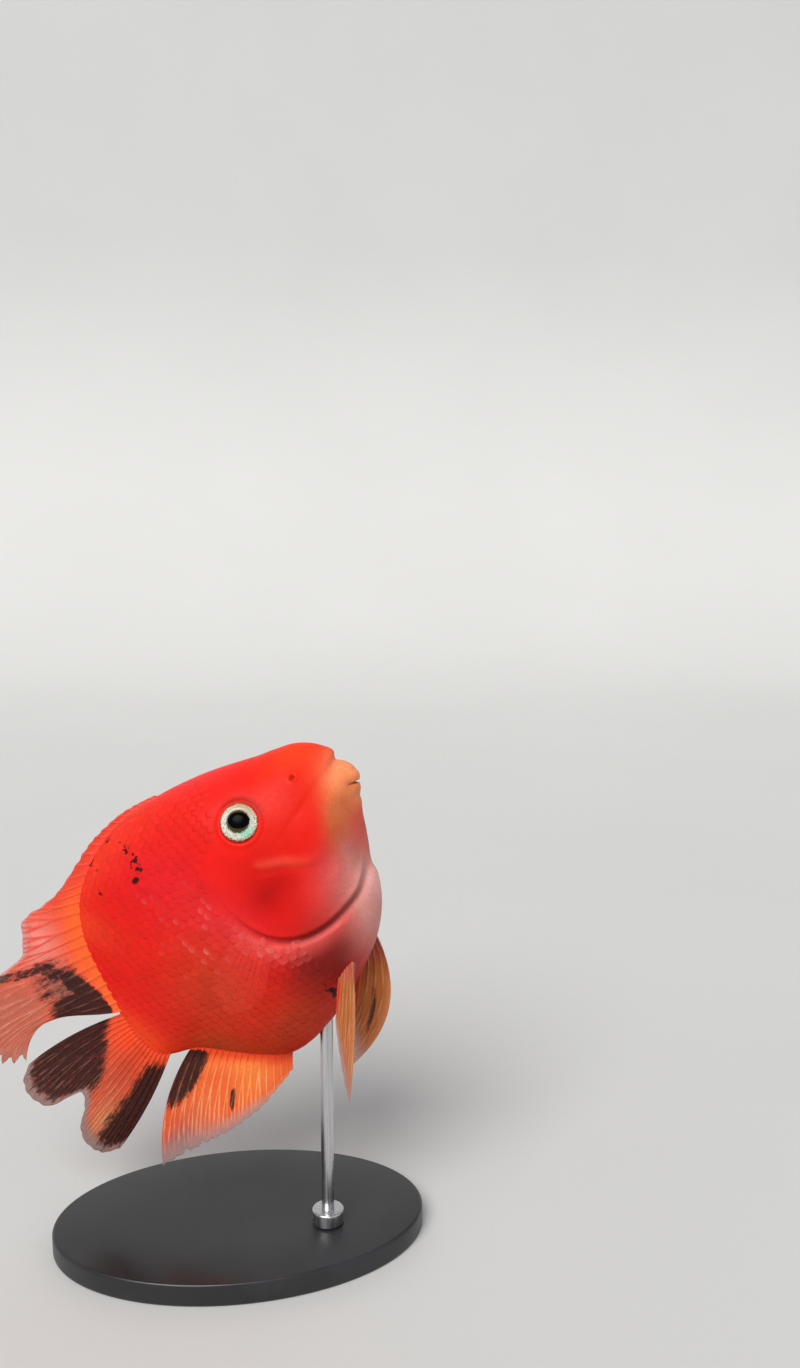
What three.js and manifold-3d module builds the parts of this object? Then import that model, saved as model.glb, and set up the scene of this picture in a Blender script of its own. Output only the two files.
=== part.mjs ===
// A blood parrot cichlid, life-size, as a still display model that swims nose up over a flat stand.
// Millimetres. In the fish's own frame +x runs to the snout, +z to the back and +y to the fish's left.
// The exported group is +Z up, with its origin at the middle of the stand's underside.
import * as THREE from "three";
import { mergeVertices } from "three/addons/utils/BufferGeometryUtils.js";
import Module from "manifold-3d";

const wasm = await Module();
wasm.setup();

// Driving dimensions of the body
const GAP = 0.3; // between pieces that touch
const CENTRE = [5, -3]; // x, z of the middle of the flank, from which the outline is measured
const OUTLINE_POINTS = [
  // x, z round the side view: from the mouth over the forehead and back, then under the belly
  [76.8, -2],
  [75.9, 3.4],
  [74, 7.2],
  [75.2, 10.6],
  [73.4, 15.4],
  [70.6, 19.8],
  [66, 24.2],
  [60, 27.6],
  [52, 31.6],
  [41.7, 37.6],
  [30.2, 43.4],
  [19.8, 47.6],
  [8.6, 51],
  [-2, 53],
  [-13, 53.2],
  [-23, 51.6],
  [-32, 48.2],
  [-40, 43.6],
  [-48.6, 34.2],
  [-56.5, 17.6],
  [-61, 5.4],
  [-64.4, -4],
  [-66, -13],
  [-64.6, -21.6],
  [-58.6, -26],
  [-50.3, -31],
  [-41.9, -41.4],
  [-33.8, -51.4],
  [-24.8, -59.6],
  [-15.7, -62.2],
  [-7, -62.4],
  [1.5, -61.8],
  [9, -60.6],
  [17, -58.4],
  [25, -56],
  [33, -52.8],
  [40.6, -47.8],
  [47, -41.4],
  [51, -35.8],
  [53.2, -31.2],
  [57.6, -25.4],
  [61.4, -20.4],
  [64.8, -15.8],
  [68.4, -12],
  [72.2, -8.6],
  [75.4, -5.2],
];
// Half width along the body, at the level where it is thickest
const WIDTH_X = [-68, -58, -48, -34, -16, 4, 24, 44, 58, 68, 74, 79];
const WIDTH_Y = [3.4, 5.6, 9.4, 15, 20, 23, 24, 22, 18.5, 14.5, 12, 10];
// How square the cross-section is towards the edge of the side view, by direction in degrees
const FULL_AT = [0, 25, 60, 100, 150, 185, 215, 260, 300, 335];
const FULLNESS = [6, 3.8, 2.7, 2.1, 2.4, 4.5, 2.4, 2.5, 3, 3.6];
const AROUND = 64; // points round the side view
const RINGS = 9; // rings from the middle of the flank to its edge

// The tail swings a little to the fish's left
const BEND_FROM_X = -12;
const BEND = 0.0015;

// Pose: seen from the front, nose up and the head turned a little towards the viewer
const NOSE_UP = 45;
const HEAD_TURN = 15;
const VIEW_DOWN = 18.6; // how steeply the viewer looks down on the fish
const FISH_HEIGHT = 141; // of the middle of the flank above the floor
const FISH_SHIFT_X = -4;

// Head
const EYE = { x: 32.6, z: 17.6, radius: 8.2, depth: 5.6, sunk: 2.6, turn: -10, tilt: 12 };
const OPERCLE = { x: 36, z: -6, rx: 31, rz: 28.5, square: 2.3, proud: 0.9, thick: 2.2 };
const PREOPERCLE = { x: 42, z: 0, rx: 18, rz: 17.5, square: 2 };
const OPERCLE_TOP = 148; // degrees round the gill cover, from +x
const OPERCLE_FRONT = 300;
const NAPE_X = 17;
const NAPE_Z = 40; // where the cut from the nape turns towards the gill cover
const THROAT_Z = -31.4;
const ARC_STEPS = 18;
const FAR = 130; // past the whole fish, for what cuts right through
const MOUTH = { x: 69.6, z: -4.4, reach: 12, down: 34, gape: 17, width: 9.5 };
const UPPER_LIP = { x: 73.6, z: -1.8, rx: 3.9, ry: 7.4, rz: 3.1 };
const LOWER_LIP = { x: 68.7, z: -9.6, rx: 3.5, ry: 6.8, rz: 3.2 };
const NOSTRIL = { x: 58, z: 14.5, radius: 1.3, rim: 0.9, depth: 1.6 };
const TAIL_X = -47;

// Fins: half thickness of the membrane and of the rays, and how deep a root is sunk before it is trimmed
const MEMBRANE = 0.28;
const RAY_ROOT = 0.85;
const RAY_TIP = 0.34;
const SUNK = 5;

const PECTORAL = {
  root: [10, -15],
  along: [-0.89, 0.24, -0.38],
  across: [-0.38, 0.1, 0.92],
  rootWidth: 8,
  fan: 34,
  lengths: [24, 31, 34, 33, 29, 22],
  bow: 0,
  rays: 10,
  steps: 4,
  curl: 1.5,
  stiff: 0.8,
};
// The right one stands out towards the viewer and the left one hangs beyond it
const PELVIC_RIGHT = {
  root: [18.5, -50.5],
  along: [-0.733, 0.351, -0.577],
  across: [0.66, 0.55, -0.5],
  rootWidth: 4.6,
  fan: 10,
  lengths: [24, 32, 39, 44, 47],
  bow: -0.04,
  rays: 6,
  steps: 6,
  curl: 2,
  stiff: 1,
};
const PELVIC_LEFT = {
  root: [25, -53],
  along: [-0.83, 0.06, -0.55],
  across: [0.6, 0, -0.8],
  rootWidth: 7,
  fan: 4,
  lengths: [26, 36, 44, 49, 52],
  bow: -0.15,
  rays: 6,
  steps: 6,
  curl: -3,
  stiff: 1,
};

// Stand
const BASE = { rx: 76, ry: 48, height: 9, bevel: 1.5 };
const ROD = { radius: 2.6, bodyX: -5, bodyZ: -60, spare: 20 }; // spare: cut off by the belly
const COLLAR = { radius: 6.5, height: 6 };

const degrees = THREE.MathUtils.degToRad;

// A smooth line through values at rising keys, and closed on itself where a period is given
function through(keys, values, period = 0) {
  const n = keys.length;
  const key = (i) =>
    period ? keys[((i % n) + n) % n] + period * Math.floor(i / n) : keys[i];
  const value = (i) => values[((i % n) + n) % n];
  const slope = (i) => {
    const a = period ? i - 1 : Math.max(0, i - 1);
    const b = period ? i + 1 : Math.min(n - 1, i + 1);
    return (value(b) - value(a)) / (key(b) - key(a));
  };
  return (at) => {
    let t = at;
    if (period) t = keys[0] + ((((at - keys[0]) % period) + period) % period);
    else t = Math.min(Math.max(at, keys[0]), keys[n - 1]);
    let i = 0;
    while (i < (period ? n - 1 : n - 2) && key(i + 1) <= t) i += 1;
    const span = key(i + 1) - key(i);
    const s = (t - key(i)) / span;
    const s2 = s * s;
    const s3 = s2 * s;
    return (
      (2 * s3 - 3 * s2 + 1) * value(i) +
      (s3 - 2 * s2 + s) * span * slope(i) +
      (3 * s2 - 2 * s3) * value(i + 1) +
      (s3 - s2) * span * slope(i + 1)
    );
  };
}

const turn = 2 * Math.PI;
const outlineAngles = OUTLINE_POINTS.map(
  ([x, z]) => (Math.atan2(z - CENTRE[1], x - CENTRE[0]) + turn) % turn,
);
const outlineRadii = OUTLINE_POINTS.map(([x, z]) =>
  Math.hypot(x - CENTRE[0], z - CENTRE[1]),
);
const outlineRadius = through(outlineAngles, outlineRadii, turn);
const halfWidth = through(WIDTH_X, WIDTH_Y);
const fullness = through(FULL_AT.map(degrees), FULLNESS, turn);

// The half width of the body at a place in the side view
function flank(x, z) {
  const angle = Math.atan2(z - CENTRE[1], x - CENTRE[0]);
  const share = Math.hypot(x - CENTRE[0], z - CENTRE[1]) / outlineRadius(angle);
  return (
    halfWidth(x) * Math.sqrt(Math.max(0, 1 - share ** fullness(angle)))
  );
}

// A point on the edge of the side view, by direction in degrees, moved out from it
function edge(angle, out) {
  const a = degrees(angle);
  const r = outlineRadius(a) + out;
  return [CENTRE[0] + r * Math.cos(a), CENTRE[1] + r * Math.sin(a)];
}

// Solids

function geometryOf(points, triangles) {
  const made = new THREE.BufferGeometry();
  made.setAttribute("position", new THREE.Float32BufferAttribute(points, 3));
  made.setIndex(triangles);
  return made;
}

function solidOf(geometry) {
  const plain = geometry.clone();
  plain.deleteAttribute("normal");
  plain.deleteAttribute("uv");
  const merged = mergeVertices(plain, 1e-4);
  const solid = new wasm.Manifold(
    new wasm.Mesh({
      numProp: 3,
      vertProperties: new Float32Array(merged.attributes.position.array),
      triVerts: new Uint32Array(merged.index.array),
    }),
  );
  if (solid.volume() > 0) return solid;
  const turned = Array.from(merged.index.array);
  for (let i = 0; i < turned.length; i += 3)
    [turned[i + 1], turned[i + 2]] = [turned[i + 2], turned[i + 1]];
  return solidOf(geometryOf(Array.from(merged.attributes.position.array), turned));
}

// Keeps a solid's largest closed surface, as geometry
function largest(solid) {
  const kept = solid
    .decompose()
    .reduce((a, b) => (b.volume() > a.volume() ? b : a));
  const mesh = kept.getMesh();
  const points = [];
  for (let i = 0; i < mesh.numVert; i += 1)
    points.push(...mesh.vertProperties.slice(i * mesh.numProp, i * mesh.numProp + 3));
  return geometryOf(points, Array.from(mesh.triVerts));
}

// The whole body as one closed surface, grown or shrunk along its normals
function bodySolid(grown = 0) {
  const points = [];
  const triangles = [];
  const at = (side, ring, k) => {
    if (ring === 0) return side < 0 ? 0 : 1;
    const column = k % AROUND;
    if (ring === RINGS) return 2 + column;
    const first = 2 + AROUND + (side < 0 ? 0 : (RINGS - 1) * AROUND);
    return first + (ring - 1) * AROUND + column;
  };
  const place = (side, ring, k) => {
    const a = (k / AROUND) * turn;
    const share = Math.sin(((ring / RINGS) * Math.PI) / 2);
    const r = share * outlineRadius(a);
    const x = CENTRE[0] + r * Math.cos(a);
    const z = CENTRE[1] + r * Math.sin(a);
    const width = halfWidth(x) * Math.sqrt(Math.max(0, 1 - share ** fullness(a)));
    const i = at(side, ring, k) * 3;
    [points[i], points[i + 1], points[i + 2]] = [x, side * width, z];
  };
  for (const side of [-1, 1]) {
    place(side, 0, 0);
    for (let ring = 1; ring <= RINGS; ring += 1)
      for (let k = 0; k < AROUND; k += 1) {
        place(side, ring, k);
        const [a, b] = [at(side, ring, k), at(side, ring, k + 1)];
        const [c, d] = [at(side, ring - 1, k), at(side, ring - 1, k + 1)];
        const faces = ring === 1 ? [[c, a, b]] : [[c, a, b], [c, b, d]];
        for (const [p, q, r] of faces)
          triangles.push(...(side < 0 ? [p, q, r] : [p, r, q]));
      }
  }
  const surface = geometryOf(points, triangles);
  surface.computeVertexNormals();
  const normal = surface.attributes.normal.array;
  if (bodyTurnsIn(points, normal)) normal.forEach((n, i) => (normal[i] = -n));
  return solidOf(geometryOf(points.map((v, i) => v + grown * normal[i]), triangles));
}

// True where the normals of a body surface point into it: the one at the first point should point to -y
function bodyTurnsIn(points, normal) {
  return Math.sign(points[1]) !== Math.sign(normal[1]);
}

// A prism through the fish from side to side, over an outline in the side view
function prism(outline, from = -FAR, to = FAR) {
  const shape = new THREE.Shape(outline.map(([x, z]) => new THREE.Vector2(x, z)));
  const made = new THREE.ExtrudeGeometry(shape, { depth: to - from, bevelEnabled: false });
  made.rotateX(Math.PI / 2);
  made.translate(0, to, 0);
  return solidOf(made);
}

function ellipsoid(x, y, z, rx, ry, rz, around = 16, rings = 10) {
  const made = new THREE.SphereGeometry(1, around, rings);
  made.rotateX(Math.PI / 2);
  made.scale(rx, ry, rz);
  made.translate(x, y, z);
  return solidOf(made);
}

// Points along a squarish ellipse in the side view, by degrees from +x: square is 2 for a true ellipse
function arc({ x, z, rx, rz, square }, from, to, steps, grown = 0) {
  const full = (v) => Math.sign(v) * Math.abs(v) ** (2 / square);
  return Array.from({ length: steps + 1 }, (_, i) => {
    const a = degrees(from + ((to - from) * i) / steps);
    return [x + (rx + grown) * full(Math.cos(a)), z + (rz + grown) * full(Math.sin(a))];
  });
}

const body = bodySolid();
const clearOfBody = bodySolid(GAP);

// The gill opening parts head and torso: from the nape down behind the gill cover to the throat
function headOutline(grown) {
  return [
    [FAR, THROAT_Z - grown],
    [FAR, FAR],
    [NAPE_X - grown, FAR],
    [NAPE_X - grown, NAPE_Z],
    ...arc(OPERCLE, OPERCLE_TOP, OPERCLE_FRONT, ARC_STEPS, grown),
  ];
}

// The side view of a gill cover, between its rear edge and the cheek
function crescent(grown) {
  const past = (3 * grown * 180) / (Math.PI * OPERCLE.rx);
  const [from, to] = [OPERCLE_TOP - past, OPERCLE_FRONT + past];
  return [
    ...arc(OPERCLE, from, to, ARC_STEPS, grown - GAP / 2),
    ...arc(PREOPERCLE, to, from, ARC_STEPS, -grown),
  ];
}

const clearOfGillCovers = bodySolid(OPERCLE.proud + GAP).intersect(prism(headOutline(2 * GAP)));

// Gill covers: plates let into the sides of the head, a little proud of it, with a raised rear edge
const plateOuter = bodySolid(OPERCLE.proud);
const plateInner = bodySolid(-OPERCLE.thick);
const pocketInner = bodySolid(-OPERCLE.thick - GAP);
const gillCovers = prism(crescent(0)).intersect(plateOuter).subtract(plateInner);
const gillPockets = prism(crescent(GAP)).subtract(pocketInner);

function eyeSolid(side, grown) {
  const y = side * (flank(EYE.x, EYE.z) - EYE.sunk);
  const made = new THREE.SphereGeometry(1, 20, 12);
  made.rotateX(Math.PI / 2);
  made.scale(EYE.radius + grown, EYE.depth + grown, EYE.radius + grown);
  made.rotateZ(side * degrees(EYE.turn));
  made.rotateX(side * degrees(EYE.tilt));
  made.translate(EYE.x, y, EYE.z);
  return solidOf(made);
}

// The open mouth: a wedge that looks down and forward, cut into the muzzle from side to side
function mouthSlot() {
  const [upper, lower] = [MOUTH.gape / 2, -MOUTH.gape / 2].map((d) => degrees(d - MOUTH.down));
  const out = (a) => [MOUTH.x + MOUTH.reach * Math.cos(a), MOUTH.z + MOUTH.reach * Math.sin(a)];
  return prism([[MOUTH.x, MOUTH.z], out(lower), out(upper)], -MOUTH.width, MOUTH.width);
}

function lip({ x, z, rx, ry, rz }) {
  return ellipsoid(x, 0, z, rx, ry, rz);
}

function headSolid() {
  let head = body
    .intersect(prism(headOutline(-GAP / 2)))
    .add(lip(UPPER_LIP))
    .add(lip(LOWER_LIP))
    .subtract(mouthSlot())
    .subtract(gillPockets);
  const { x, z, radius, rim, depth } = NOSTRIL;
  for (const side of [-1, 1]) {
    const y = side * flank(x, z);
    head = head
      .subtract(eyeSolid(side, GAP))
      .add(ellipsoid(x, y, z, radius + rim, rim, radius + rim, 10, 6))
      .subtract(ellipsoid(x, y, z, radius, depth, radius, 8, 6));
  }
  return head;
}

// All that lies between two places along the fish
function slab(from, to, right = -FAR, left = FAR) {
  return prism([[from, -FAR], [to, -FAR], [to, FAR], [from, FAR]], right, left);
}

function torsoSolid() {
  return body
    .subtract(prism(headOutline(GAP / 2)))
    .intersect(slab(TAIL_X, FAR));
}

function tailSolid() {
  return body.intersect(slab(-FAR, TAIL_X - GAP));
}

// Fins

// A closed sheet from a grid of columns of [p, q, w, half thickness], put in place by a function of
// p, q and w. Both faces are split into triangles alike.
function sheetGeometry(columns, place) {
  const [n, m] = [columns.length, columns[0].length];
  const points = [];
  for (const face of [1, -1])
    for (const column of columns)
      for (const [p, q, w, half] of column) points.push(...place(p, q, w + face * half));
  const at = (face, j, k) => (face > 0 ? 0 : n * m) + j * m + k;
  const triangles = [];
  for (let j = 0; j < n - 1; j += 1)
    for (let k = 0; k < m - 1; k += 1)
      for (const face of [1, -1]) {
        const corner = [
          at(face, j, k),
          at(face, j + 1, k),
          at(face, j + 1, k + 1),
          at(face, j, k + 1),
        ];
        const halves = j % 2 ? [[0, 1, 2], [0, 2, 3]] : [[0, 1, 3], [1, 2, 3]];
        for (const [a, b, c] of halves) {
          const order = face > 0 ? [a, b, c] : [a, c, b];
          triangles.push(...order.map((i) => corner[i]));
        }
      }
  const rim = [];
  for (let j = 0; j < n - 1; j += 1) rim.push([j, 0]);
  for (let k = 0; k < m - 1; k += 1) rim.push([n - 1, k]);
  for (let j = n - 1; j > 0; j -= 1) rim.push([j, m - 1]);
  for (let k = m - 1; k > 0; k -= 1) rim.push([0, k]);
  rim.forEach(([j, k], i) => {
    const [j2, k2] = rim[(i + 1) % rim.length];
    const [a, b, c, d] = [at(1, j, k), at(1, j2, k2), at(-1, j2, k2), at(-1, j, k)];
    triangles.push(a, c, b, a, d, c);
  });
  return geometryOf(points, triangles);
}

// Columns of a fin: one for each ray and one for the membrane between two rays, which ends short of the
// tips. ray(u) gives {root, tip, bow}, wave(u, v) the sideways wave, and stiff how full the rays are.
function finColumns({ rays, steps, ray, wave, notch, stiff = 1 }) {
  const columns = [];
  for (let j = 0; j <= 2 * (rays - 1); j += 1) {
    const u = j / (2 * (rays - 1));
    const isRay = j % 2 === 0;
    const { root, tip, bow } = ray(u);
    const reach = isRay ? 1 : 1 - notch;
    const across = [tip[1] - root[1], root[0] - tip[0]];
    const column = [];
    for (let k = 0; k <= steps; k += 1) {
      const v = (k / steps) * reach;
      const lift = bow * 4 * v * (1 - v);
      const half = isRay ? stiff * (RAY_ROOT + (RAY_TIP - RAY_ROOT) * v) : MEMBRANE;
      column.push([
        root[0] + (tip[0] - root[0]) * v + across[0] * lift,
        root[1] + (tip[1] - root[1]) * v + across[1] * lift,
        wave(u, v),
        half,
      ]);
    }
    columns.push(column);
  }
  return columns;
}

const inSideView = (p, q, w) => [p, w, q];

// A fin on the body's edge, from a line of rays: each is rooted in a direction from the middle of the
// flank and reaches to the x, z of its tip
function medianFin({ line, rays, steps, notch, bow, wave }) {
  const from = line[0][0];
  const span = line[line.length - 1][0] - from;
  const u = line.map(([direction]) => (direction - from) / span);
  const tipX = through(u, line.map(([, x]) => x));
  const tipZ = through(u, line.map(([, , z]) => z));
  const ray = (s) => ({
    root: edge(from + span * s, -SUNK),
    tip: [tipX(s), tipZ(s)],
    bow: bow(s),
  });
  const columns = finColumns({ rays, steps, ray, wave, notch });
  return solidOf(sheetGeometry(columns, inSideView)).subtract(clearOfBody);
}

// The spines of the dorsal fin lie folded along the back, and its soft rays trail in a long lobe
function dorsalFin() {
  return medianFin({
    line: [
      [71, 12, 51],
      [88, 0, 55.2],
      [100, -12, 56.6],
      [110, -22, 56.2],
      [118, -33, 54.2],
      [124, -43, 53],
      [130, -53, 54.4],
      [135, -62.5, 56.6],
      [139, -69, 51],
      [143, -76, 46.8],
      [148, -88, 48.4],
      [152.5, -102, 46.4],
      [157, -113, 39.6],
      [162, -119, 31],
      [166.5, -116, 22.4],
      [171, -107, 17],
    ],
    rays: 27,
    steps: 5,
    notch: 0.035,
    bow: (s) => -0.05 * s + 0.17 * s ** 8,
    wave: (u, v) => 1.6 * v * Math.sin(9 * u + 1.5 * v),
  });
}

function analFin() {
  return medianFin({
    line: [
      [245, -30, -64.8],
      [239, -39, -65.6],
      [234, -49, -66],
      [229, -59, -64.8],
      [223, -69, -63],
      [217, -80, -59.8],
      [211, -90, -57],
      [206, -100, -54.6],
    ],
    rays: 17,
    steps: 5,
    notch: 0.035,
    bow: (s) => 0.03 + 0.06 * s * s,
    wave: (u, v) => 1.4 * v * Math.sin(7 * u + 2),
  });
}

function caudalFin() {
  return medianFin({
    line: [
      [174.5, -108, 14.8],
      [178, -117, 11.4],
      [181, -120, 4],
      [184, -116.5, -3.4],
      [186.5, -101, -8.8],
      [188.5, -104, -14],
      [190.5, -112.5, -18.6],
      [193, -116.6, -25],
      [195.5, -115.4, -32.4],
      [198, -108, -36.6],
    ],
    rays: 17,
    steps: 5,
    notch: 0.03,
    bow: (s) => 0.05 - 0.09 * s,
    wave: (u, v) => 1.2 * v * Math.sin(8 * u),
  });
}

// A fan of rays from a short root on the flank, placed by its root, its direction and the direction of
// its width
function pairedFin(side, { root, along, across, rootWidth, fan, lengths, bow, rays, steps, curl, stiff }) {
  const a = new THREE.Vector3(...along).normalize();
  const b = new THREE.Vector3(...across);
  b.addScaledVector(a, -a.dot(b)).normalize();
  const n = new THREE.Vector3().crossVectors(a, b);
  const [rootX, rootZ] = root;
  const base = new THREE.Vector3(rootX, flank(rootX, rootZ), rootZ);
  const length = through(lengths.map((_, i) => i / (lengths.length - 1)), lengths);
  const ray = (u) => {
    const q = (u - 0.5) * rootWidth;
    const angle = degrees((u - 0.5) * fan);
    return {
      root: [-SUNK, q],
      tip: [length(u) * Math.cos(angle), q + length(u) * Math.sin(angle)],
      bow: bow * u,
    };
  };
  const place = (p, q, w) => {
    const at = base.clone().addScaledVector(a, p).addScaledVector(b, q).addScaledVector(n, w);
    return [at.x, side * at.y, at.z];
  };
  const wave = (u, v) => curl * v * v;
  const columns = finColumns({ rays, steps, ray, wave, notch: 0.04, stiff });
  return solidOf(sheetGeometry(columns, place)).subtract(clearOfBody);
}

// The fish's frame in the world, from how the viewer sees it
function fishMatrix() {
  const [alpha, theta, down] = [NOSE_UP, HEAD_TURN, VIEW_DOWN].map(degrees);
  const right = new THREE.Vector3(1, 0, 0);
  const up = new THREE.Vector3(0, Math.sin(down), Math.cos(down));
  const toViewer = new THREE.Vector3(0, -Math.cos(down), Math.sin(down));
  const forward = new THREE.Vector3()
    .addScaledVector(right, Math.cos(theta) * Math.cos(alpha))
    .addScaledVector(up, Math.cos(theta) * Math.sin(alpha))
    .addScaledVector(toViewer, Math.sin(theta));
  const back = new THREE.Vector3()
    .addScaledVector(right, -Math.sin(alpha))
    .addScaledVector(up, Math.cos(alpha));
  const left = new THREE.Vector3().crossVectors(back, forward);
  return new THREE.Matrix4()
    .makeBasis(forward, left, back)
    .setPosition(FISH_SHIFT_X, 0, FISH_HEIGHT);
}

function bent(geometry) {
  const position = geometry.attributes.position;
  for (let i = 0; i < position.count; i += 1) {
    const past = Math.max(0, BEND_FROM_X - position.getX(i));
    position.setY(i, position.getY(i) + BEND * past * past);
  }
  return geometry;
}

// Stand

function baseGeometry() {
  const shape = new THREE.Shape().absellipse(0, 0, BASE.rx, BASE.ry, 0, turn);
  const made = new THREE.ExtrudeGeometry(shape, {
    depth: BASE.height - 2 * BASE.bevel,
    bevelThickness: BASE.bevel,
    bevelSize: BASE.bevel,
    bevelOffset: -BASE.bevel,
    bevelSegments: 1,
    curveSegments: 24,
  });
  made.translate(0, 0, BASE.bevel);
  return largest(solidOf(made));
}

function upright(radius, bottom, top, x, y, around) {
  const made = new THREE.CylinderGeometry(radius, radius, top - bottom, around);
  made.rotateX(Math.PI / 2);
  made.translate(x, y, (top + bottom) / 2);
  return solidOf(made);
}

// Materials

function paint(color, roughness, metalness = 0) {
  return new THREE.MeshStandardMaterial({ color, roughness, metalness });
}

const flesh = paint(0xe5331c, 0.4);
const gill = paint(0xd8281a, 0.4);
const finOrange = paint(0xf0733a, 0.5);
const finSmoky = paint(0x6b4650, 0.5);
const finClear = paint(0xe08a78, 0.5);
const eyeSilver = paint(0xcfd4c4, 0.2);
const standBlack = paint(0x1c1c1e, 0.35);
const standSteel = paint(0xb8babd, 0.3, 1);

// The object

const object = new THREE.Group();
const fish = new THREE.Group();
const placed = fishMatrix();
placed.decompose(fish.position, fish.quaternion, fish.scale);
object.add(fish);

function addTo(group, name, geometry, material) {
  const mesh = new THREE.Mesh(geometry, material);
  mesh.name = name;
  group.add(mesh);
}

function addFish(name, solid, material) {
  addTo(fish, name, bent(largest(solid)), material);
}

addFish("head", headSolid(), flesh);
addFish("torso", torsoSolid(), flesh);
addFish("tail", tailSolid(), flesh);
addFish("dorsal_fin", dorsalFin(), finOrange);
addFish("anal_fin", analFin(), finOrange);
addFish("caudal_fin", caudalFin(), finSmoky);
for (const [word, side] of [["right", -1], ["left", 1]]) {
  const half = slab(-FAR, FAR, side < 0 ? -FAR : 0, side < 0 ? 0 : FAR);
  addFish("gill_cover_" + word, gillCovers.intersect(half), gill);
  addFish("eye_" + word, eyeSolid(side, 0), eyeSilver);
  const pectoral = pairedFin(side, PECTORAL).subtract(clearOfGillCovers);
  addFish("pectoral_fin_" + word, pectoral, finClear);
  addFish("pelvic_fin_" + word, pairedFin(side, side < 0 ? PELVIC_RIGHT : PELVIC_LEFT), finOrange);
}

addTo(object, "stand_base", baseGeometry(), standBlack);
const foot = new THREE.Vector3(ROD.bodyX, 0, ROD.bodyZ).applyMatrix4(placed);
const rodBottom = BASE.height + GAP;
const bodyInWorld = solidOf(bent(largest(bodySolid(GAP))).applyMatrix4(placed));
const rod = upright(ROD.radius, rodBottom, foot.z + ROD.spare, foot.x, foot.y, 20).subtract(bodyInWorld);
addTo(object, "stand_rod", largest(rod), standSteel);
const collar = upright(COLLAR.radius, rodBottom, rodBottom + COLLAR.height, foot.x, foot.y, 28);
const collarBore = upright(ROD.radius + GAP, 0, foot.z, foot.x, foot.y, 20);
addTo(object, "stand_collar", largest(collar.subtract(collarBore)), standSteel);

export default object;
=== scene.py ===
"""The finished surfaces of a blood parrot cichlid held nose up over a display stand."""
import math

import bpy
import numpy as np
from mathutils import Matrix, Vector
from mathutils.bvhtree import BVHTree


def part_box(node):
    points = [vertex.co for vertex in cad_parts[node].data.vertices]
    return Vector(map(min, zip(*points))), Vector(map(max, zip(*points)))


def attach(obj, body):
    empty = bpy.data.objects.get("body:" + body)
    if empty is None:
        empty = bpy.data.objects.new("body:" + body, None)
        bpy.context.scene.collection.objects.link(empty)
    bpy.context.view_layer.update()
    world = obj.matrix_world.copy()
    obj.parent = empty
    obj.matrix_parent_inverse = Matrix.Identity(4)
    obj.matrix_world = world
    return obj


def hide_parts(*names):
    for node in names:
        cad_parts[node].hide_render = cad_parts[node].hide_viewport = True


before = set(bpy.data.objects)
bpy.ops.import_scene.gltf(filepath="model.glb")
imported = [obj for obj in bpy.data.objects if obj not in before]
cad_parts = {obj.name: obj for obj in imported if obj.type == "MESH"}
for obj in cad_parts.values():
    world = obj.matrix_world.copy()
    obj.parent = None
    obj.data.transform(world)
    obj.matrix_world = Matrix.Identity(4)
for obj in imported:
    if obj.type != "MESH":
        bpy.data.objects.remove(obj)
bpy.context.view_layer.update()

# The fish's own frame is in millimetres: +x to the snout, +z to the back, +y to the fish's left
MM = 0.001
TURN = 2 * math.pi
CENTRE = (5.0, -3.0)
# The side view, from the mouth over the back and the belly
OUTLINE = [
    (76.2, -1.7), (75.6, 3.2), (74, 7.2), (75.2, 10.6), (73.4, 15.4), (70.6, 19.8), (66, 24.2),
    (60, 27.6), (52, 31.6), (41.7, 37.6), (30.2, 43.4), (19.8, 47.6), (8.6, 51), (-2, 53),
    (-13, 53.2), (-23, 51.6), (-32, 48.2), (-40, 43.6), (-48.6, 34.2), (-56.5, 17.6), (-61, 5.4),
    (-64.4, -4), (-66, -13), (-64.6, -21.6), (-58.6, -26), (-50.3, -31), (-41.9, -41.4),
    (-33.8, -51.4), (-24.8, -59.6), (-15.7, -62.2), (-7, -62.4), (1.5, -61.8), (9, -60.6),
    (17, -58.4), (25, -56), (33, -52.8), (40.6, -47.8), (47, -41.4), (51, -35.8), (53.2, -31.2),
    (57.6, -25.4), (61.4, -20.4), (64.8, -15.6), (67.9, -12), (70.9, -8.4), (74.2, -5),
]
# Half the body's width along it
WIDTH_X = (-68, -58, -48, -34, -16, 4, 24, 44, 58, 68, 74, 79)
WIDTH_Y = (3.4, 5.6, 9.4, 15, 20, 23, 24, 22, 18.5, 14.5, 12, 10)
# How square the body's section is, by direction round the side view in degrees
FULL_AT = (0, 25, 60, 100, 150, 185, 215, 260, 300, 335)
FULLNESS = (6, 3.8, 2.7, 2.1, 2.4, 4.5, 2.4, 2.5, 3, 3.6)
# The tail swings to the left by this much times the square of the way behind a place
BEND_FROM_X = -12.0
BEND = 0.0015

# Pose and view
NOSE_UP = math.radians(45)
HEAD_TURN = math.radians(15)
VIEW_DOWN = math.radians(18.6)
FISH_AT = Vector((-4.0, 0.0, 141.0))
FRAME_PX = (800, 1368)
FOCAL_PX = 1185.0
FISH_PX = (225.0, 905.0)  # where the middle of the fish shows in the photo's frame
MM_PER_PX = 0.40
CAMERA_DOWN = math.radians(8)
SENSOR = 36

# Skin
AROUND = 900
RINGS = 150
SCALE_DEPTH = 0.15  # how far the skin lies inside the solids, to leave room for the scales
EYE = {"x": 32.1, "z": 17.0, "radius": 7.9, "depth": 5.6, "sunk": 2.6, "turn": -10, "tilt": 12}
OPERCLE = {"x": 36.0, "z": -6.0, "rx": 31.0, "rz": 28.5, "square": 2.3}
MOUTH = {"x": 71.0, "z": -4.2, "down": 34, "slit": 1.6, "gape": 0.2, "lip": 1.3}

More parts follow.
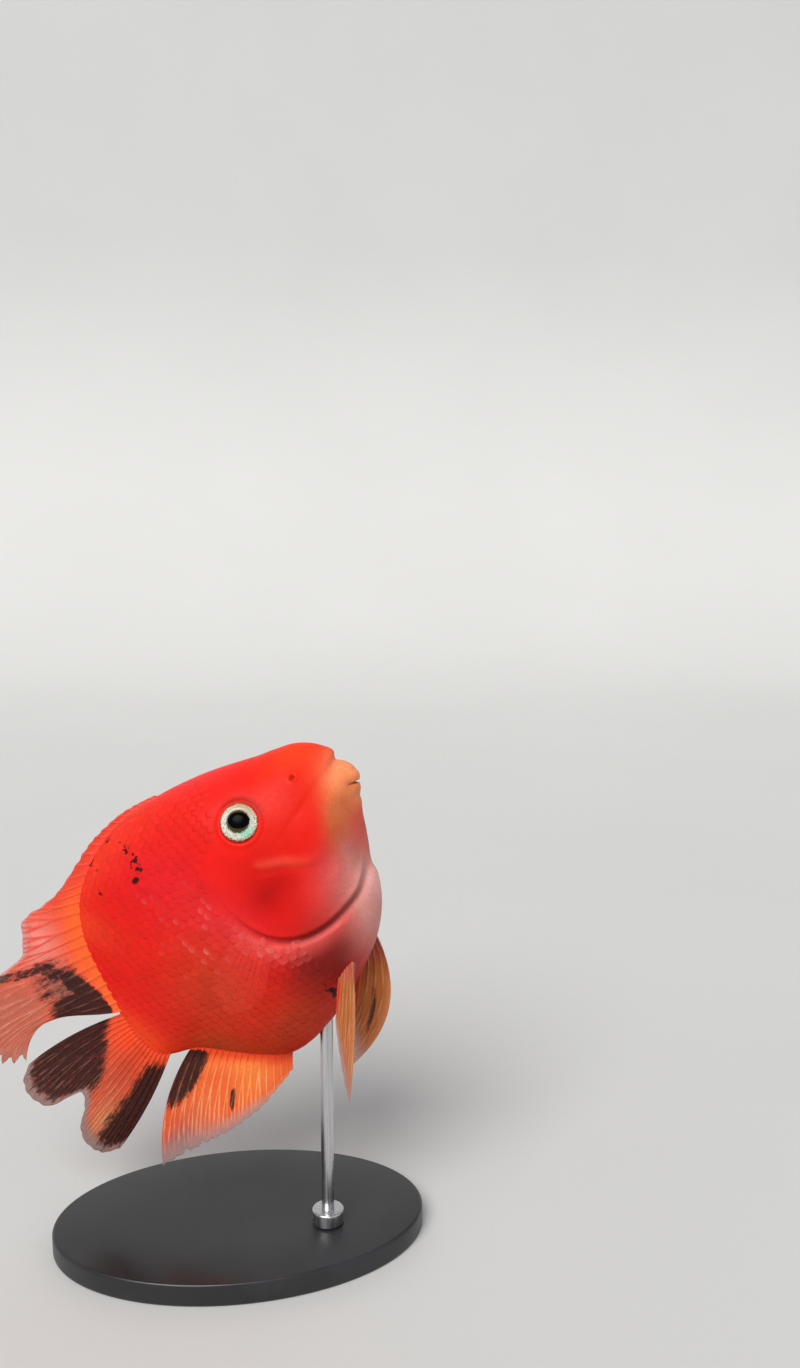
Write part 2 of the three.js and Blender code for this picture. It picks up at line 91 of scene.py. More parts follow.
SIDES = ((-1, "right"), (1, "left"))

rng = np.random.default_rng(7)


# Curves and colours

def through(keys, values, period=0.0):
    """A smooth line through values at rising keys, closed where a period is given."""
    k = np.asarray(keys, float)
    v = np.asarray(values, float)
    if period:
        k = np.concatenate([[k[-1] - period], k, k[:2] + period])
        v = np.concatenate([[v[-1]], v, v[:2]])
    slope = np.empty_like(v)
    slope[1:-1] = (v[2:] - v[:-2]) / (k[2:] - k[:-2])
    slope[0] = (v[1] - v[0]) / (k[1] - k[0])
    slope[-1] = (v[-1] - v[-2]) / (k[-1] - k[-2])

    def at(t):
        t = np.asarray(t, float)
        t = keys[0] + np.mod(t - keys[0], period) if period else np.clip(t, k[0], k[-1])
        i = np.clip(np.searchsorted(k, t, side="right") - 1, 0, len(k) - 2)
        span = k[i + 1] - k[i]
        s = (t - k[i]) / span
        s2, s3 = s * s, s * s * s
        return (
            (2 * s3 - 3 * s2 + 1) * v[i]
            + (s3 - 2 * s2 + s) * span * slope[i]
            + (3 * s2 - 2 * s3) * v[i + 1]
            + (s3 - s2) * span * slope[i + 1]
        )

    return at


def smooth(low, high, value):
    """A soft step from 0 at low to 1 at high; low may be the larger."""
    t = np.clip((np.asarray(value, float) - low) / (high - low), 0, 1)
    return t * t * (3 - 2 * t)


def bell(value, width):
    """1 at value 0, softly less to both sides."""
    return np.exp(-((value / width) ** 2))


def colour(red, green, blue):
    """Screen colour, 0 to 255, as the linear one that shaders use."""
    c = np.array([red, green, blue]) / 255
    return np.where(c <= 0.04045, c / 12.92, ((c + 0.055) / 1.055) ** 2.4)


def blend(base, other, weight):
    """A screen colour laid over linear ones."""
    return base + (colour(*other) - base) * np.clip(weight, 0, 1)[:, None]


outline = np.array(OUTLINE)
outline_angles = np.mod(np.arctan2(outline[:, 1] - CENTRE[1], outline[:, 0] - CENTRE[0]), TURN)
outline_radius = through(
    outline_angles, np.hypot(outline[:, 0] - CENTRE[0], outline[:, 1] - CENTRE[1]), TURN
)
half_width = through(WIDTH_X, WIDTH_Y)
fullness = through(np.radians(FULL_AT), FULLNESS, TURN)


def share_of(x, z):
    """How far out a place lies in the side view, 0 at the middle and 1 at the edge, and where round it."""
    angle = np.arctan2(z - CENTRE[1], x - CENTRE[0])
    return np.hypot(x - CENTRE[0], z - CENTRE[1]) / outline_radius(angle), angle


def flank(x, z):
    """Half the body's width at a place in the side view."""
    share, angle = share_of(x, z)
    return half_width(x) * np.sqrt(np.clip(1 - share ** fullness(angle), 0, 1))


def edge(angle, out):
    """A place out from the body's edge, by its direction in degrees."""
    a = np.radians(angle)
    r = outline_radius(a) + out
    return CENTRE[0] + r * np.cos(a), CENTRE[1] + r * np.sin(a)


def fish_matrix():
    """The fish's frame in the world, from how the viewer sees it."""
    right = Vector((1, 0, 0))
    up = Vector((0, math.sin(VIEW_DOWN), math.cos(VIEW_DOWN)))
    to_viewer = Vector((0, -math.cos(VIEW_DOWN), math.sin(VIEW_DOWN)))
    level = right * math.cos(NOSE_UP) + up * math.sin(NOSE_UP)
    forward = level * math.cos(HEAD_TURN) + to_viewer * math.sin(HEAD_TURN)
    back = up * math.cos(NOSE_UP) - right * math.sin(NOSE_UP)
    left = back.cross(forward)
    return np.array([forward, left, back]).T, np.array(FISH_AT)


AXES, ORIGIN = fish_matrix()


def to_world(points):
    """Points of the straight fish, bent at the tail and put in place, in metres."""
    p = np.array(points, float)
    p[..., 1] += BEND * np.maximum(0, BEND_FROM_X - p[..., 0]) ** 2
    return (p @ AXES.T + ORIGIN) * MM


# Meshes

def mesh_object(name, points, faces, attributes=None):
    """A mesh with attributes of its points: one number each, or a vector, or a colour for the tint."""
    mesh = bpy.data.meshes.new(name)
    if isinstance(faces, np.ndarray):
        faces = faces.tolist()
    mesh.from_pydata(np.asarray(points).tolist(), [], faces)
    mesh.update()
    for key, values in (attributes or {}).items():
        kind, field = ("FLOAT", "value") if np.ndim(values) == 1 else ("FLOAT_VECTOR", "vector")
        if key == "tint":
            kind, field = "FLOAT_COLOR", "color"
            values = np.concatenate([values, np.ones((len(values), 1))], axis=1)
        layer = mesh.attributes.new(key, kind, "POINT")
        layer.data.foreach_set(field, np.asarray(values, np.float32).ravel())
    mesh.polygons.foreach_set("use_smooth", [True] * len(mesh.polygons))
    made = bpy.data.objects.new(name, mesh)
    bpy.context.scene.collection.objects.link(made)
    return made


def closed_grid_faces(rows, columns):
    """Faces of rows closed round their columns, between a first and a last pole."""
    first = 1 + np.arange(rows)[:, None] * columns + np.arange(columns)[None, :]
    across = np.roll(first, -1, axis=1)
    quads = np.stack([first[:-1], first[1:], across[1:], across[:-1]], -1).reshape(-1, 4).tolist()
    last = 1 + rows * columns
    caps = [[0, int(a), int(b)] for a, b in zip(first[0], across[0])]
    caps += [[last, int(b), int(a)] for a, b in zip(first[-1], across[-1])]
    return quads + caps


# Markings

# Soft zones in the side view: x, z, radius along, radius across, lean in degrees, screen colour and
# strength. Later zones lie over earlier ones.
BODY_RED = (228, 20, 8)
ZONES = [
    ("upper back", -20, 50, 44, 9, -4, (243, 60, 34), 0.8),
    ("rear back", -44, 36, 16, 7, -66, (242, 60, 24), 0.75),
    # Pinkish: a painted highlight on the nape
    ("nape", 30, 44, 28, 7, -28, (244, 56, 56), 0.65),
    ("mid flank", -5, 22, 17, 24, 20, (224, 30, 38), 0.75),
    # Pinkish: a broad painted sheen behind the gill cover
    ("behind gill", 0, -10, 12, 18, 25, (228, 46, 58), 0.6),
    ("lower flank", -24, -20, 19, 24, -38, (196, 56, 28), 0.85),
    # The underside's own orange, darkened with painted shade
    ("underside", -12, -52, 30, 12, 0, (172, 54, 24), 0.9),
    # Painted shade on the belly's side
    ("belly side", 18, -44, 19, 13, 14, (122, 26, 20), 1.1),
    ("vent", -42, -37, 16, 8, -50, (186, 62, 26), 1.0),
    ("forehead", 66, 20, 15, 10, -34, (248, 66, 30), 0.9),
    ("face", 50, 8, 18, 14, 0, (226, 30, 10), 0.8),
    ("under the eye", 34, 2, 10, 6, 0, (214, 26, 10), 0.6),
    ("gill cover", 22, -10, 13, 14, 0, (188, 10, 7), 0.85),
    # Painted shade in the cheek's dent
    ("cheek dent", 20, -9, 6, 4, 0, (164, 8, 6), 0.6),
    ("gill edge", 28, -29, 11, 5, 8, (186, 42, 38), 0.8),
    ("lower cheek", 41, -21, 13, 8, 30, (208, 60, 56), 0.95),
    ("gill skin", 43, -26, 13, 5, 36, (186, 80, 76), 0.95),
    ("snout", 71.5, -1, 11, 8, 60, (253, 150, 100), 1.3),
    ("lip", 69.5, -6, 7, 4.5, 50, (228, 132, 80), 0.9),
    ("jaw", 60, -9, 10, 5.5, 52, (202, 106, 62), 1.2),
    ("lower jaw", 54.5, -14.5, 7, 4, 45, (192, 86, 42), 0.9),
    ("chin", 60.5, -18, 6, 2.6, 60, (204, 78, 66), 0.9),
    ("throat", 51, -22.5, 7.5, 4.2, 50, (184, 98, 88), 1.1),
    ("throat edge", 50.5, -27.6, 5.5, 2.2, 50, (152, 72, 42), 1.2),
    ("jaw corner", 42.5, -21.5, 5, 3.4, 30, (218, 78, 74), 0.7),
    ("breast", 44, -42, 19, 10, 50, (208, 138, 128), 1.35),
    ("front of breast", 51, -37, 8, 7, 60, (238, 170, 162), 1.0),
    # Painted shade below the gill cover
    ("below the gill", 13, -39, 13, 7, 8, (134, 24, 20), 0.8),
    ("tail root", -63, -10, 7, 17, 8, (240, 74, 28), 0.7),
]
# Pale pink where the scales catch light, below and behind the gill cover
SHEEN = (236, 96, 90)
GLINT = (248, 132, 124)
# Painted shadow over the eye, and a painted highlight on the pale ridge of the cheek
BROW_SHADOW = (136, 22, 4)
RIDGE_HIGHLIGHT = (242, 84, 62)
# Dark marks: x, z, radius along, radius across, lean in degrees
SPECKS = [
    (-7.8, 43.6, 1.9, 1.0, 60), (-6.2, 39.8, 1.1, 0.8, 70), (-7.2, 37.2, 1.4, 0.8, 40),
    (-8.0, 35.0, 1.5, 1.0, 110), (-9.2, 33.3, 1.2, 0.9, 20), (-12.8, 32.2, 2.0, 1.2, 15),
    (-10.2, 36.4, 0.8, 0.6, 0), (-4.6, 42.2, 0.8, 0.5, 30), (-28.3, 38.5, 1.6, 0.5, 60),
    (7.4, -53.6, 2.6, 1.7, 60), (-12, 52, 1.6, 0.7, 0), (-24, 50, 2.2, 0.8, -18),
]


def lean(x, z, at_x, at_z, along, across, degrees):
    """Squared distance from a leaning ellipse's middle, 1 on its edge."""
    c, s = math.cos(math.radians(degrees)), math.sin(math.radians(degrees))
    p = (x - at_x) * c + (z - at_z) * s
    q = -(x - at_x) * s + (z - at_z) * c
    return (p / along) ** 2 + (q / across) ** 2


def washed(base, x, z, washes, layers=()):
    """A screen colour under soft zones and then layers of a colour and its weight."""
    tint = np.tile(colour(*base), (len(x), 1))
    for *place, wash, strength in washes:
        tint = blend(tint, wash, strength * np.exp(-lean(x, z, *place)))
    for layer, weight in layers:
        tint = blend(tint, layer, weight)
    return tint


def round_opercle(x, z):
    """Direction round the middle of the gill cover, in degrees."""
    return np.degrees(np.mod(np.arctan2(z - OPERCLE["z"], x - OPERCLE["x"]), TURN))


def inside_opercle(x, z):
    """Millimetres inside the gill cover's rear edge, negative outside."""
    e = OPERCLE["square"]
    across = np.abs((x - OPERCLE["x"]) / OPERCLE["rx"]) ** e
    out = (across + np.abs((z - OPERCLE["z"]) / OPERCLE["rz"]) ** e) ** (1 / e)
    angle = round_opercle(x, z)
    # The edge bends in where it runs up under the throat
    out = out * (1 + 0.1 * smooth(280, 312, angle) * smooth(350, 330, angle))
    return (1 - out) * 0.5 * (OPERCLE["rx"] + OPERCLE["rz"])


def cheek_fold(x, z):
    """Millimetres along the fold of the cheek and out from it."""
    return (x - 24) * 0.731 + (z - 1) * -0.682, (x - 24) * 0.682 + (z - 1) * 0.731


def wavy(fold, across):
    """The way out from the fold, with the fold's slight waves."""
    return across + 0.45 * np.sin(fold * 0.42)


def sheen(x, z):
    """How much the pale pink shows: a band and a rim round the rear of the gill cover."""
    depth = inside_opercle(x, z)
    angle = round_opercle(x, z)
    band = smooth(0.5, -2.5, depth) * smooth(-11, -3, depth) * smooth(272, 240, angle)
    rim = bell(depth + 3.0, 1.3) * smooth(276, 256, angle)
    return smooth(172, 208, angle) * np.maximum(band, 1.5 * rim)


def body_tint(x, z):
    """The skin's colour: its zones, the sheen, a painted shadow over the eye and a painted highlight on the
    cheek's ridge.
    """
    ring = np.hypot(x - EYE["x"], z - EYE["z"])
    over = smooth(0.1, 0.9, (0.85 * (x - EYE["x"]) + 0.5 * (z - EYE["z"])) / np.maximum(ring, 1))
    # Painted shadow in a band over the top of the eye
    brow = over * bell(ring - EYE["radius"] - 1.1, 1.5)
    fold, across = cheek_fold(x, z)
    # Painted highlight along the ridge of the cheek fold
    ridge = smooth(-2, 3, fold) * smooth(26, 12, fold) * bell(wavy(fold, across - 1.6), 1.3 + 0.05 * fold)
    zones = [zone[1:] for zone in ZONES]
    layers = [(SHEEN, 0.5 * sheen(x, z)), (BROW_SHADOW, 0.55 * brow), (RIDGE_HIGHLIGHT, 0.45 * ridge)]
    return washed(BODY_RED, x, z, zones, layers)


def body_specks(x, z):
    """How dark the body is, 1 in the middle of each speck."""
    dark = np.zeros(len(x))
    for at_x, at_z, along, across, degrees in SPECKS:
        dark = np.maximum(dark, np.exp(-0.7 * lean(x, z, at_x, at_z, along, across, degrees)))
    return dark


# Skin

# Heights of the skin's own forms over the plain body, in millimetres
GILL = {"plate": 0.85, "groove": 1.15, "throat": 0.6, "swelling": 0.55, "rim": 0.12}
CHEEK = {"fold": 0.3, "ridge": 0.45, "dip": 0.45, "jaw": 0.5}
SOCKET = {"ring": 0.25, "hollow": 4.4}
SNOUT = {"x": 74, "z": 7.4, "notch": 0.25, "notch_x": 74.2, "crease": 0.4}
NOSTRIL = {"x": 58.0, "z": 14.5, "radius": 1.2, "rim": 0.22, "pit": 0.9}


def gill_relief(x, z):
    """The gill cover's plate, the groove behind it and the swelling behind that."""
    depth, angle = inside_opercle(x, z), round_opercle(x, z)
    along = smooth(140, 200, angle) * smooth(320, 296, angle)
    deep = (0.3 + 0.7 * smooth(196, 240, angle)) * along
    height = along * GILL["plate"] * (smooth(-0.2, 1.6, depth) * smooth(26, 5, depth))
    height -= deep * (GILL["groove"] - GILL["throat"] * smooth(276, 306, angle)) * bell(depth + 0.9, 1.5)
    height += deep * GILL["swelling"] * smooth(-1.6, -5, depth) * smooth(-18, -6, depth)
    # The soft rim of the gill cover, a little lower than the bone before it
    return height - along * GILL["rim"] * bell(depth - 3.6, 1.3)


def relief(x, z):
    """Height of all the skin's own forms."""
    height = gill_relief(x, z)
    # Cheek: a fold from below the eye down and forward, with a soft swelling over it
    fold, across = cheek_fold(x, z)
    reach = smooth(-2, 3, fold) * smooth(28, 18, fold)
    across = wavy(fold, across)
    height -= reach * CHEEK["fold"] * bell(across + 0.9, 1.6)
    height += reach * CHEEK["ridge"] * bell(across - 1.8, 2.0)
    # A shallow dip under the cheek, and the jaw's muscle before it
    height -= CHEEK["dip"] * np.exp(-lean(x, z, 26, -12, 9, 8, 0))
    height += CHEEK["jaw"] * np.exp(-lean(x, z, 47, -6, 11, 7, 50))
    # The orbit: skin rolls in round the eyeball
    ring = np.sqrt(lean(x, z, EYE["x"], EYE["z"], 1, 1, 0))
    height += SOCKET["ring"] * bell(ring - EYE["radius"] - 0.4, 0.9)
    height -= SOCKET["hollow"] * smooth(EYE["radius"] - 0.4, EYE["radius"] - 2.6, ring)
    # The brow groove that sets off the snout, and the crease beside it
    notch = bell(x - SNOUT["notch_x"], 2.2) * bell(z - SNOUT["z"], 1.6)
    crease = bell(z - SNOUT["z"] - 0.3 * (x - SNOUT["x"]), 1.2) * smooth(65, 74, x)
    height -= SNOUT["notch"] * notch + SNOUT["crease"] * crease
    # Nostrils: a pit in a low rim
    pit = np.sqrt(lean(x, z, NOSTRIL["x"], NOSTRIL["z"], 1, 1, 0)) / NOSTRIL["radius"]
    height += NOSTRIL["rim"] * bell(pit - 1.35, 0.45) - NOSTRIL["pit"] * bell(pit, 0.7)
    return height + mouth_relief(x, z)


def mouth_place(x, z):
    """Millimetres out along the slit of the mouth from its corner, and across it."""
    a = math.radians(-MOUTH["down"])
    out = (x - MOUTH["x"]) * math.cos(a) + (z - MOUTH["z"]) * math.sin(a)
    return out, -(x - MOUTH["x"]) * math.sin(a) + (z - MOUTH["z"]) * math.cos(a)


def mouth_relief(x, z):
    """The slit between the lips, and the lips round it."""
    out, across = mouth_place(x, z)
    near = smooth(-1.5, 2.0, out)
    gape = MOUTH["gape"] + MOUTH["gape"] * smooth(0, 6, out)
    height = -near * MOUTH["slit"] * smooth(gape + 0.45, gape * 0.7, np.abs(across))
    for middle, size in ((2.3, 0.3), (-2.4, 0.35)):
        height += near * size * bell(across - middle, MOUTH["lip"])
    # Folds behind the lips
    height -= near * 0.3 * bell(across - 5.4, 0.9)
    height -= near * 0.35 * bell(across + 5.6, 1.0)
    return height - 0.6 * (bell(out, 2.0) * bell(across, 2.4))


def spread_angles():
    """Directions round the side view, closer together at the mouth and throat."""
    t = np.linspace(0, TURN, 4001)
    gap = np.degrees(np.abs(np.mod(t + math.pi + math.radians(8), TURN) - math.pi))
    density = 1 + 3.2 * bell(gap, 22)
    total = np.concatenate([[0], np.cumsum(0.5 * (density[1:] + density[:-1]))])
    return np.interp(np.arange(AROUND) / AROUND * total[-1], total, t)


def grid_normals(points):
    """Normals of a closed grid of rows, pointing out."""
    along = np.gradient(points, axis=0)
    across = np.roll(points, -1, axis=1) - np.roll(points, 1, axis=1)
    normal = np.cross(along, across)
    normal /= np.maximum(np.linalg.norm(normal, axis=2, keepdims=True), 1e-9)
    middle = points.mean(axis=(0, 1))
    facing = np.sum(normal * (points - middle), axis=2).mean()
    return normal if facing > 0 else -normal


def skin_grid():
    angles = spread_angles()
    theta = np.linspace(0, math.pi, 2 * RINGS + 1)[1:-1]
    share = np.sin(theta)[:, None]
    reach = share * outline_radius(angles)[None, :]
    x = CENTRE[0] + reach * np.cos(angles)[None, :]
    z = CENTRE[1] + reach * np.sin(angles)[None, :]
    bulge = np.sqrt(np.clip(1 - share ** fullness(angles)[None, :], 0, 1))
    y = -half_width(x) * bulge * np.sign(np.round(np.cos(theta), 9))[:, None]
    return np.stack([x, y, z], -1)


def make_skin():
    grid = skin_grid()
    normal = grid_normals(grid)
    flat = grid.reshape(-1, 3)
    height = relief(flat[:, 0], flat[:, 2]) - SCALE_DEPTH
    moved = flat + normal.reshape(-1, 3) * height[:, None]
    poles = [[CENTRE[0], side * (flank(*CENTRE) - SCALE_DEPTH), CENTRE[1]] for side in (-1, 1)]
    points = np.concatenate([[poles[0]], moved, [poles[1]]])
    faces = closed_grid_faces(*grid.shape[:2])
    x, _, z = points.T
    return mesh_object("skin", to_world(points), faces, {
        "tint": body_tint(x, z),
        "dark": body_specks(x, z),
        "fish": points,
        "hollow": painted_recess_shade(x, z),
    })


def painted_recess_shade(x, z):
    """How much painted shade darkens the skin, from 0 to 1, in the mouth's slit, the gill slit and the
    nostril's pit.
    """
    out, across = mouth_place(x, z)
    mouth = 0.8 * smooth(-0.5, 2.5, out) * smooth(0.8, 0.2, np.abs(across))
    depth, angle = inside_opercle(x, z), round_opercle(x, z)
    along = smooth(176, 244, angle) * smooth(318, 296, angle)
    slit = (0.75 - 0.4 * smooth(270, 306, angle)) * along * bell(depth + 0.6, 1.3)
    pit = 0.8 * np.exp(-lean(x, z, NOSTRIL["x"], NOSTRIL["z"], 0.8, 0.8, 0))
    return np.clip(np.maximum(np.maximum(mouth, slit), pit), 0, 1)


# Materials

class Nodes:
    """Short names for making a node material."""

    def __init__(self, name):
        self.material = bpy.data.materials.new(name)
        self.material.use_nodes = True
        self.tree = self.material.node_tree
        self.shader = self.tree.nodes["Principled BSDF"]

    def add(self, kind, inputs=None, **settings):
        node = self.tree.nodes.new(kind)
        for key, value in settings.items():
            setattr(node, key, value)
        for key, value in (inputs or {}).items():
            self.put(node.inputs[key], value)
        return node

    def put(self, socket, value):
        if isinstance(value, bpy.types.NodeSocket):
            self.tree.links.new(value, socket)
        else:
            socket.default_value = value

    def attribute(self, name, output="Fac"):
        return self.add("ShaderNodeAttribute", attribute_name=name).outputs[output]

    def noise(self, where, scale, detail):
        inputs = {"Vector": where, "Scale": scale, "Detail": detail, "Roughness": 0.55}
        return self.add("ShaderNodeTexNoise", inputs).outputs[0]

    def math(self, operation, a, b):
        return self.add("ShaderNodeMath", {0: a, 1: b}, operation=operation).outputs[0]

    def place(self):
        return self.add("ShaderNodeTexCoord").outputs["Object"]

    def swing(self, noise, amount):
        """A noise about 0, of a given size."""
        return self.math("MULTIPLY", self.math("SUBTRACT", noise, 0.5), amount)

    def ramp(self, value, low, high, to_low=0.0, to_high=1.0):
        node = self.add("ShaderNodeMapRange", {
            "Value": value, "From Min": low, "From Max": high, "To Min": to_low, "To Max": to_high,
        }, interpolation_type="SMOOTHSTEP")
        return node.outputs[0]

    def mix(self, share, a, b, blend="MIX"):
        node = self.add("ShaderNodeMix", data_type="RGBA", blend_type=blend)
        self.put(node.inputs[0], share)
        self.put(node.inputs[6], a)
        self.put(node.inputs[7], b)
        return node.outputs[2]

    def times(self, tint, factors):
        return self.mix(1.0, tint, (*factors, 1), "MULTIPLY")

    def bump(self, height, distance, strength, normal=None):
        inputs = {"Height": height, "Distance": distance, "Strength": strength}
        if normal is not None:
            inputs["Normal"] = normal
        return self.add("ShaderNodeBump", inputs).outputs[0]

    def finish(self, **inputs):
        for key, value in inputs.items():
            self.put(self.shader.inputs[key.replace("_", " ")], value)
        return self.material


def screen(red, green, blue):
    """Screen colour, 0 to 255, as a shader's socket takes it."""
    return (*[float(c) for c in colour(red, green, blue)], 1.0)


def skin_material(name, scaled):
    """Wet skin: mottled tint, ragged dark marks, pores, painted shade in the slits and the nostril, and low
    cells where it isn't scaled.
    """
    n = Nodes(name)
    where = n.attribute("fish", "Vector")
    tint = n.attribute("tint", "Color")
    mottle = n.noise(where, 0.12, 3)
    fine = n.noise(where, 1.1, 5)
    base = n.mix(n.ramp(mottle, 0.35, 0.7, 0.0, 0.3), tint, n.times(tint, (0.8, 0.6, 0.7)))
    base = n.mix(n.ramp(fine, 0.4, 0.75, 0.0, 0.6), base, n.times(base, (1.1, 1.4, 1.4)))
    ragged = n.math("ADD", n.attribute("dark"), n.swing(fine, 0.9))
    base = n.mix(n.ramp(ragged, 0.48, 0.66, 0.0, 0.95), base, screen(34, 10, 14))
    # Painted shade in the mouth's slit, the gill slit and the nostril's pit
    base = n.mix(n.math("MULTIPLY", n.attribute("hollow"), 0.85), base, screen(86, 10, 8))
    rough = n.ramp(n.noise(where, 0.7, 3), 0.3, 0.7, 0.4, 0.52)
    normal = n.bump(n.noise(where, 3.2, 3), 0.00005, 0.2)
    if not scaled:
        inputs = {"Vector": where, "Scale": 0.42}
        cells = n.add("ShaderNodeTexVoronoi", inputs, feature="SMOOTH_F1").outputs[0]
        normal = n.bump(cells, 0.0001, 0.2, normal)
    return n.finish(
        Base_Color=base, Roughness=rough, Normal=normal, Subsurface_Weight=0.1, Subsurface_Scale=0.002,
        Coat_Weight=0.02, Coat_Roughness=0.2, Specular_IOR_Level=0.12,
    )


def eye_material():
    """A black pupil in a speckled silver iris with painted tan shade on its upper side, a painted pale green
    glint and a red rim.
    """
    n = Nodes("eye_glossy")
    radial = n.attribute("radial")
    speck = n.noise(n.attribute("fish", "Vector"), 1.8, 4)
    ragged = n.math("ADD", radial, n.swing(speck, 0.34))
    silver = n.mix(n.ramp(speck, 0.46, 0.64, 0, 0.8), screen(236, 238, 222), screen(118, 114, 92))
    # Painted shade on the iris's upper side, in tan, and a painted pale green glint
    silver = n.mix(n.math("MULTIPLY", n.attribute("iris_top_shade"), 0.65), silver, screen(196, 150, 96))
    silver = n.mix(n.math("MULTIPLY", n.attribute("mint_glint"), 0.9), silver, screen(140, 232, 196))
    inner = n.mix(n.ramp(ragged, 0.53, 0.6), screen(74, 66, 40), silver)
    ring = n.mix(n.ramp(ragged, 0.83, 0.93), inner, screen(128, 92, 44))
    ring = n.mix(n.ramp(radial, 0.93, 0.97), ring, screen(150, 20, 12))
    pupil = n.ramp(n.attribute("pupil"), 0.98, 1.04)
    return n.finish(
        Base_Color=n.mix(pupil, screen(3, 3, 5), ring), Roughness=0.3,
        Metallic=n.math("MULTIPLY", pupil, n.ramp(radial, 0.85, 0.75, 0, 0.25)),
        Normal=n.bump(speck, 0.0001, 0.35), Specular_IOR_Level=0.04, Coat_Weight=0.02, Coat_Roughness=0.03,
    )


def fin_material():
    """Thin membrane with painted highlights streaked along its rays and ragged dark patches that run along
    the rays.
    """
    n = Nodes("fin_membrane")
    where = n.attribute("fish", "Vector")
    lane = n.attribute("lane", "Vector")
    tint = n.attribute("tint", "Color")
    dark = n.attribute("dark")
    streak = n.noise(lane, 2.6, 3)
    fibre = n.noise(lane, 9.0, 2)
    veins = n.noise(where, 0.9, 4)
    base = n.mix(n.ramp(veins, 0.35, 0.7, 0, 0.3), tint, n.times(tint, (0.66, 0.5, 0.5)))
    ragged = n.math("ADD", n.swing(streak, 1.9), n.swing(veins, 0.5))
    ragged = n.math("ADD", ragged, n.swing(fibre, 1.2))
    inside = n.math("ADD", dark, ragged)
    ink = n.math("MULTIPLY", n.ramp(inside, 0.2, 0.95), n.ramp(dark, 0.02, 0.4))
    black = n.mix(n.ramp(fibre, 0.45, 0.65), screen(16, 2, 2), screen(58, 22, 20))
    base = n.mix(n.math("MULTIPLY", ink, 0.97), base, black)
    # Painted highlights broken into streaks along the rays, fainter on the dark patches
    streaked_highlight = n.math("MULTIPLY", n.attribute("ray_highlight"), n.ramp(streak, 0.42, 0.62, 0.15, 1.0))
    streaked_highlight = n.math("MULTIPLY", streaked_highlight, n.ramp(ink, 0.0, 1.0, 1.0, 0.45))
    return n.finish(
        Base_Color=n.mix(streaked_highlight, base, screen(250, 180, 140)), Alpha=n.attribute("cover"),
        Roughness=n.ramp(veins, 0.3, 0.7, 0.4, 0.55), Normal=n.bump(n.noise(where, 2.4, 3), 0.00005, 0.5),
        Subsurface_Weight=0.15, Subsurface_Scale=0.002, Specular_IOR_Level=0.25,
    )


# Scales

SCALE_STEP = 3.5
ROW_STEP = 3.3
SCALE_LENGTH = 5.4
SCALE_WIDTH = 4.5
SCALE_LIFT = 0.1
SCALE_THICK = 0.08
RIM_ROLL = 0.07
SPOKES = 12
RING_AT = (0.5, 0.86, 1.0)
# A rounded free edge behind the widest place and a squarer rooted edge before it
FREE_PART, ROOTED_PART = 0.56, 0.44
# Each scale has its own patch of the map, smaller than the way to the next scale's patch
MAP_MIDDLE = {-1: 0.26, 1: 0.76}
MAP_LENGTH, MAP_HEIGHT = 330, 170
PATCH = 0.00028


def section_arc(x, side):
    """Places down one side of a section, from back to belly: y, z and the way from the middle row."""
    z = np.linspace(-70, 62, 1200)
    share, _ = share_of(np.full_like(z, x), z)
    z = z[share < 0.9995]
    top, bottom = z.max(), z.min()
    z = 0.5 * (top + bottom) + 0.5 * (top - bottom) * np.cos(np.linspace(0, math.pi, 500))
    y = side * flank(np.full_like(z, x), z)
    steps = np.hypot(np.diff(y), np.diff(z))
    arc = np.concatenate([[0], np.cumsum(steps)])
    return y, z, arc - np.interp(-middle_row(x), -z, arc)


def middle_row(x):
    """Height of the row of scales along the middle of the side."""
    return np.interp(x, [-64, 12], [-9.0, -4.0])


def wears_scales(x, z):
    """Scales lie behind the gill cover and run up over the nape."""
    behind = inside_opercle(x, z) < -1.4
    below_nape = x < 17 + 0.5 * np.maximum(0, z - 6)
    under_eye = (x > 17) & (z > -20) & (z < 6)
    return behind & below_nape & ~under_eye


def scale_roots(side):
    """Roots of one side's scales on the straight fish, and their way from the middle row."""
    roots = []
    for i, x in enumerate(np.arange(-63.5, 54, SCALE_STEP)):
        y, z, arc = section_arc(x, side)
        rows = np.arange(math.ceil(arc[0] / ROW_STEP), math.floor(arc[-1] / ROW_STEP) + 1) + 0.5 * (i % 2)
        for s in rows * ROW_STEP:
            if not arc[0] + 0.3 < s < arc[-1] - 0.3:
                continue
            root = np.array([x, np.interp(s, arc, y), np.interp(s, arc, z)])
            if wears_scales(root[0], root[2]):
                roots.append((root, s))
    return roots


def glints(x, z):
    """Where scales carry painted glints on their edges: on the flank and in the sheen."""
    middle = math.exp(-lean(x, z, -8, 0, 15, 20, 20))
    return float(max(middle, 1.1 * sheen(np.array([x]), np.array([z]))[0]))


def patchy(x, z):
    """Light falls on loose groups of scales."""
    waves = math.sin(0.31 * x + 0.9 * math.sin(0.23 * z)) + math.sin(0.42 * z - 0.17 * x + 1.0)
    return float(smooth(-0.9, 0.9, waves))


def scale_outline(length, width):
    """Places on a flat scale from its middle out: the way to the tail and across."""
    places = [(0.0, 0.0)]
    for share in RING_AT:
        for a in np.arange(SPOKES) / SPOKES * TURN:
            p = math.cos(a) * (FREE_PART if math.cos(a) > 0 else ROOTED_PART)
            places.append((p * share * length, math.sin(a) * 0.5 * share * width))
    return places


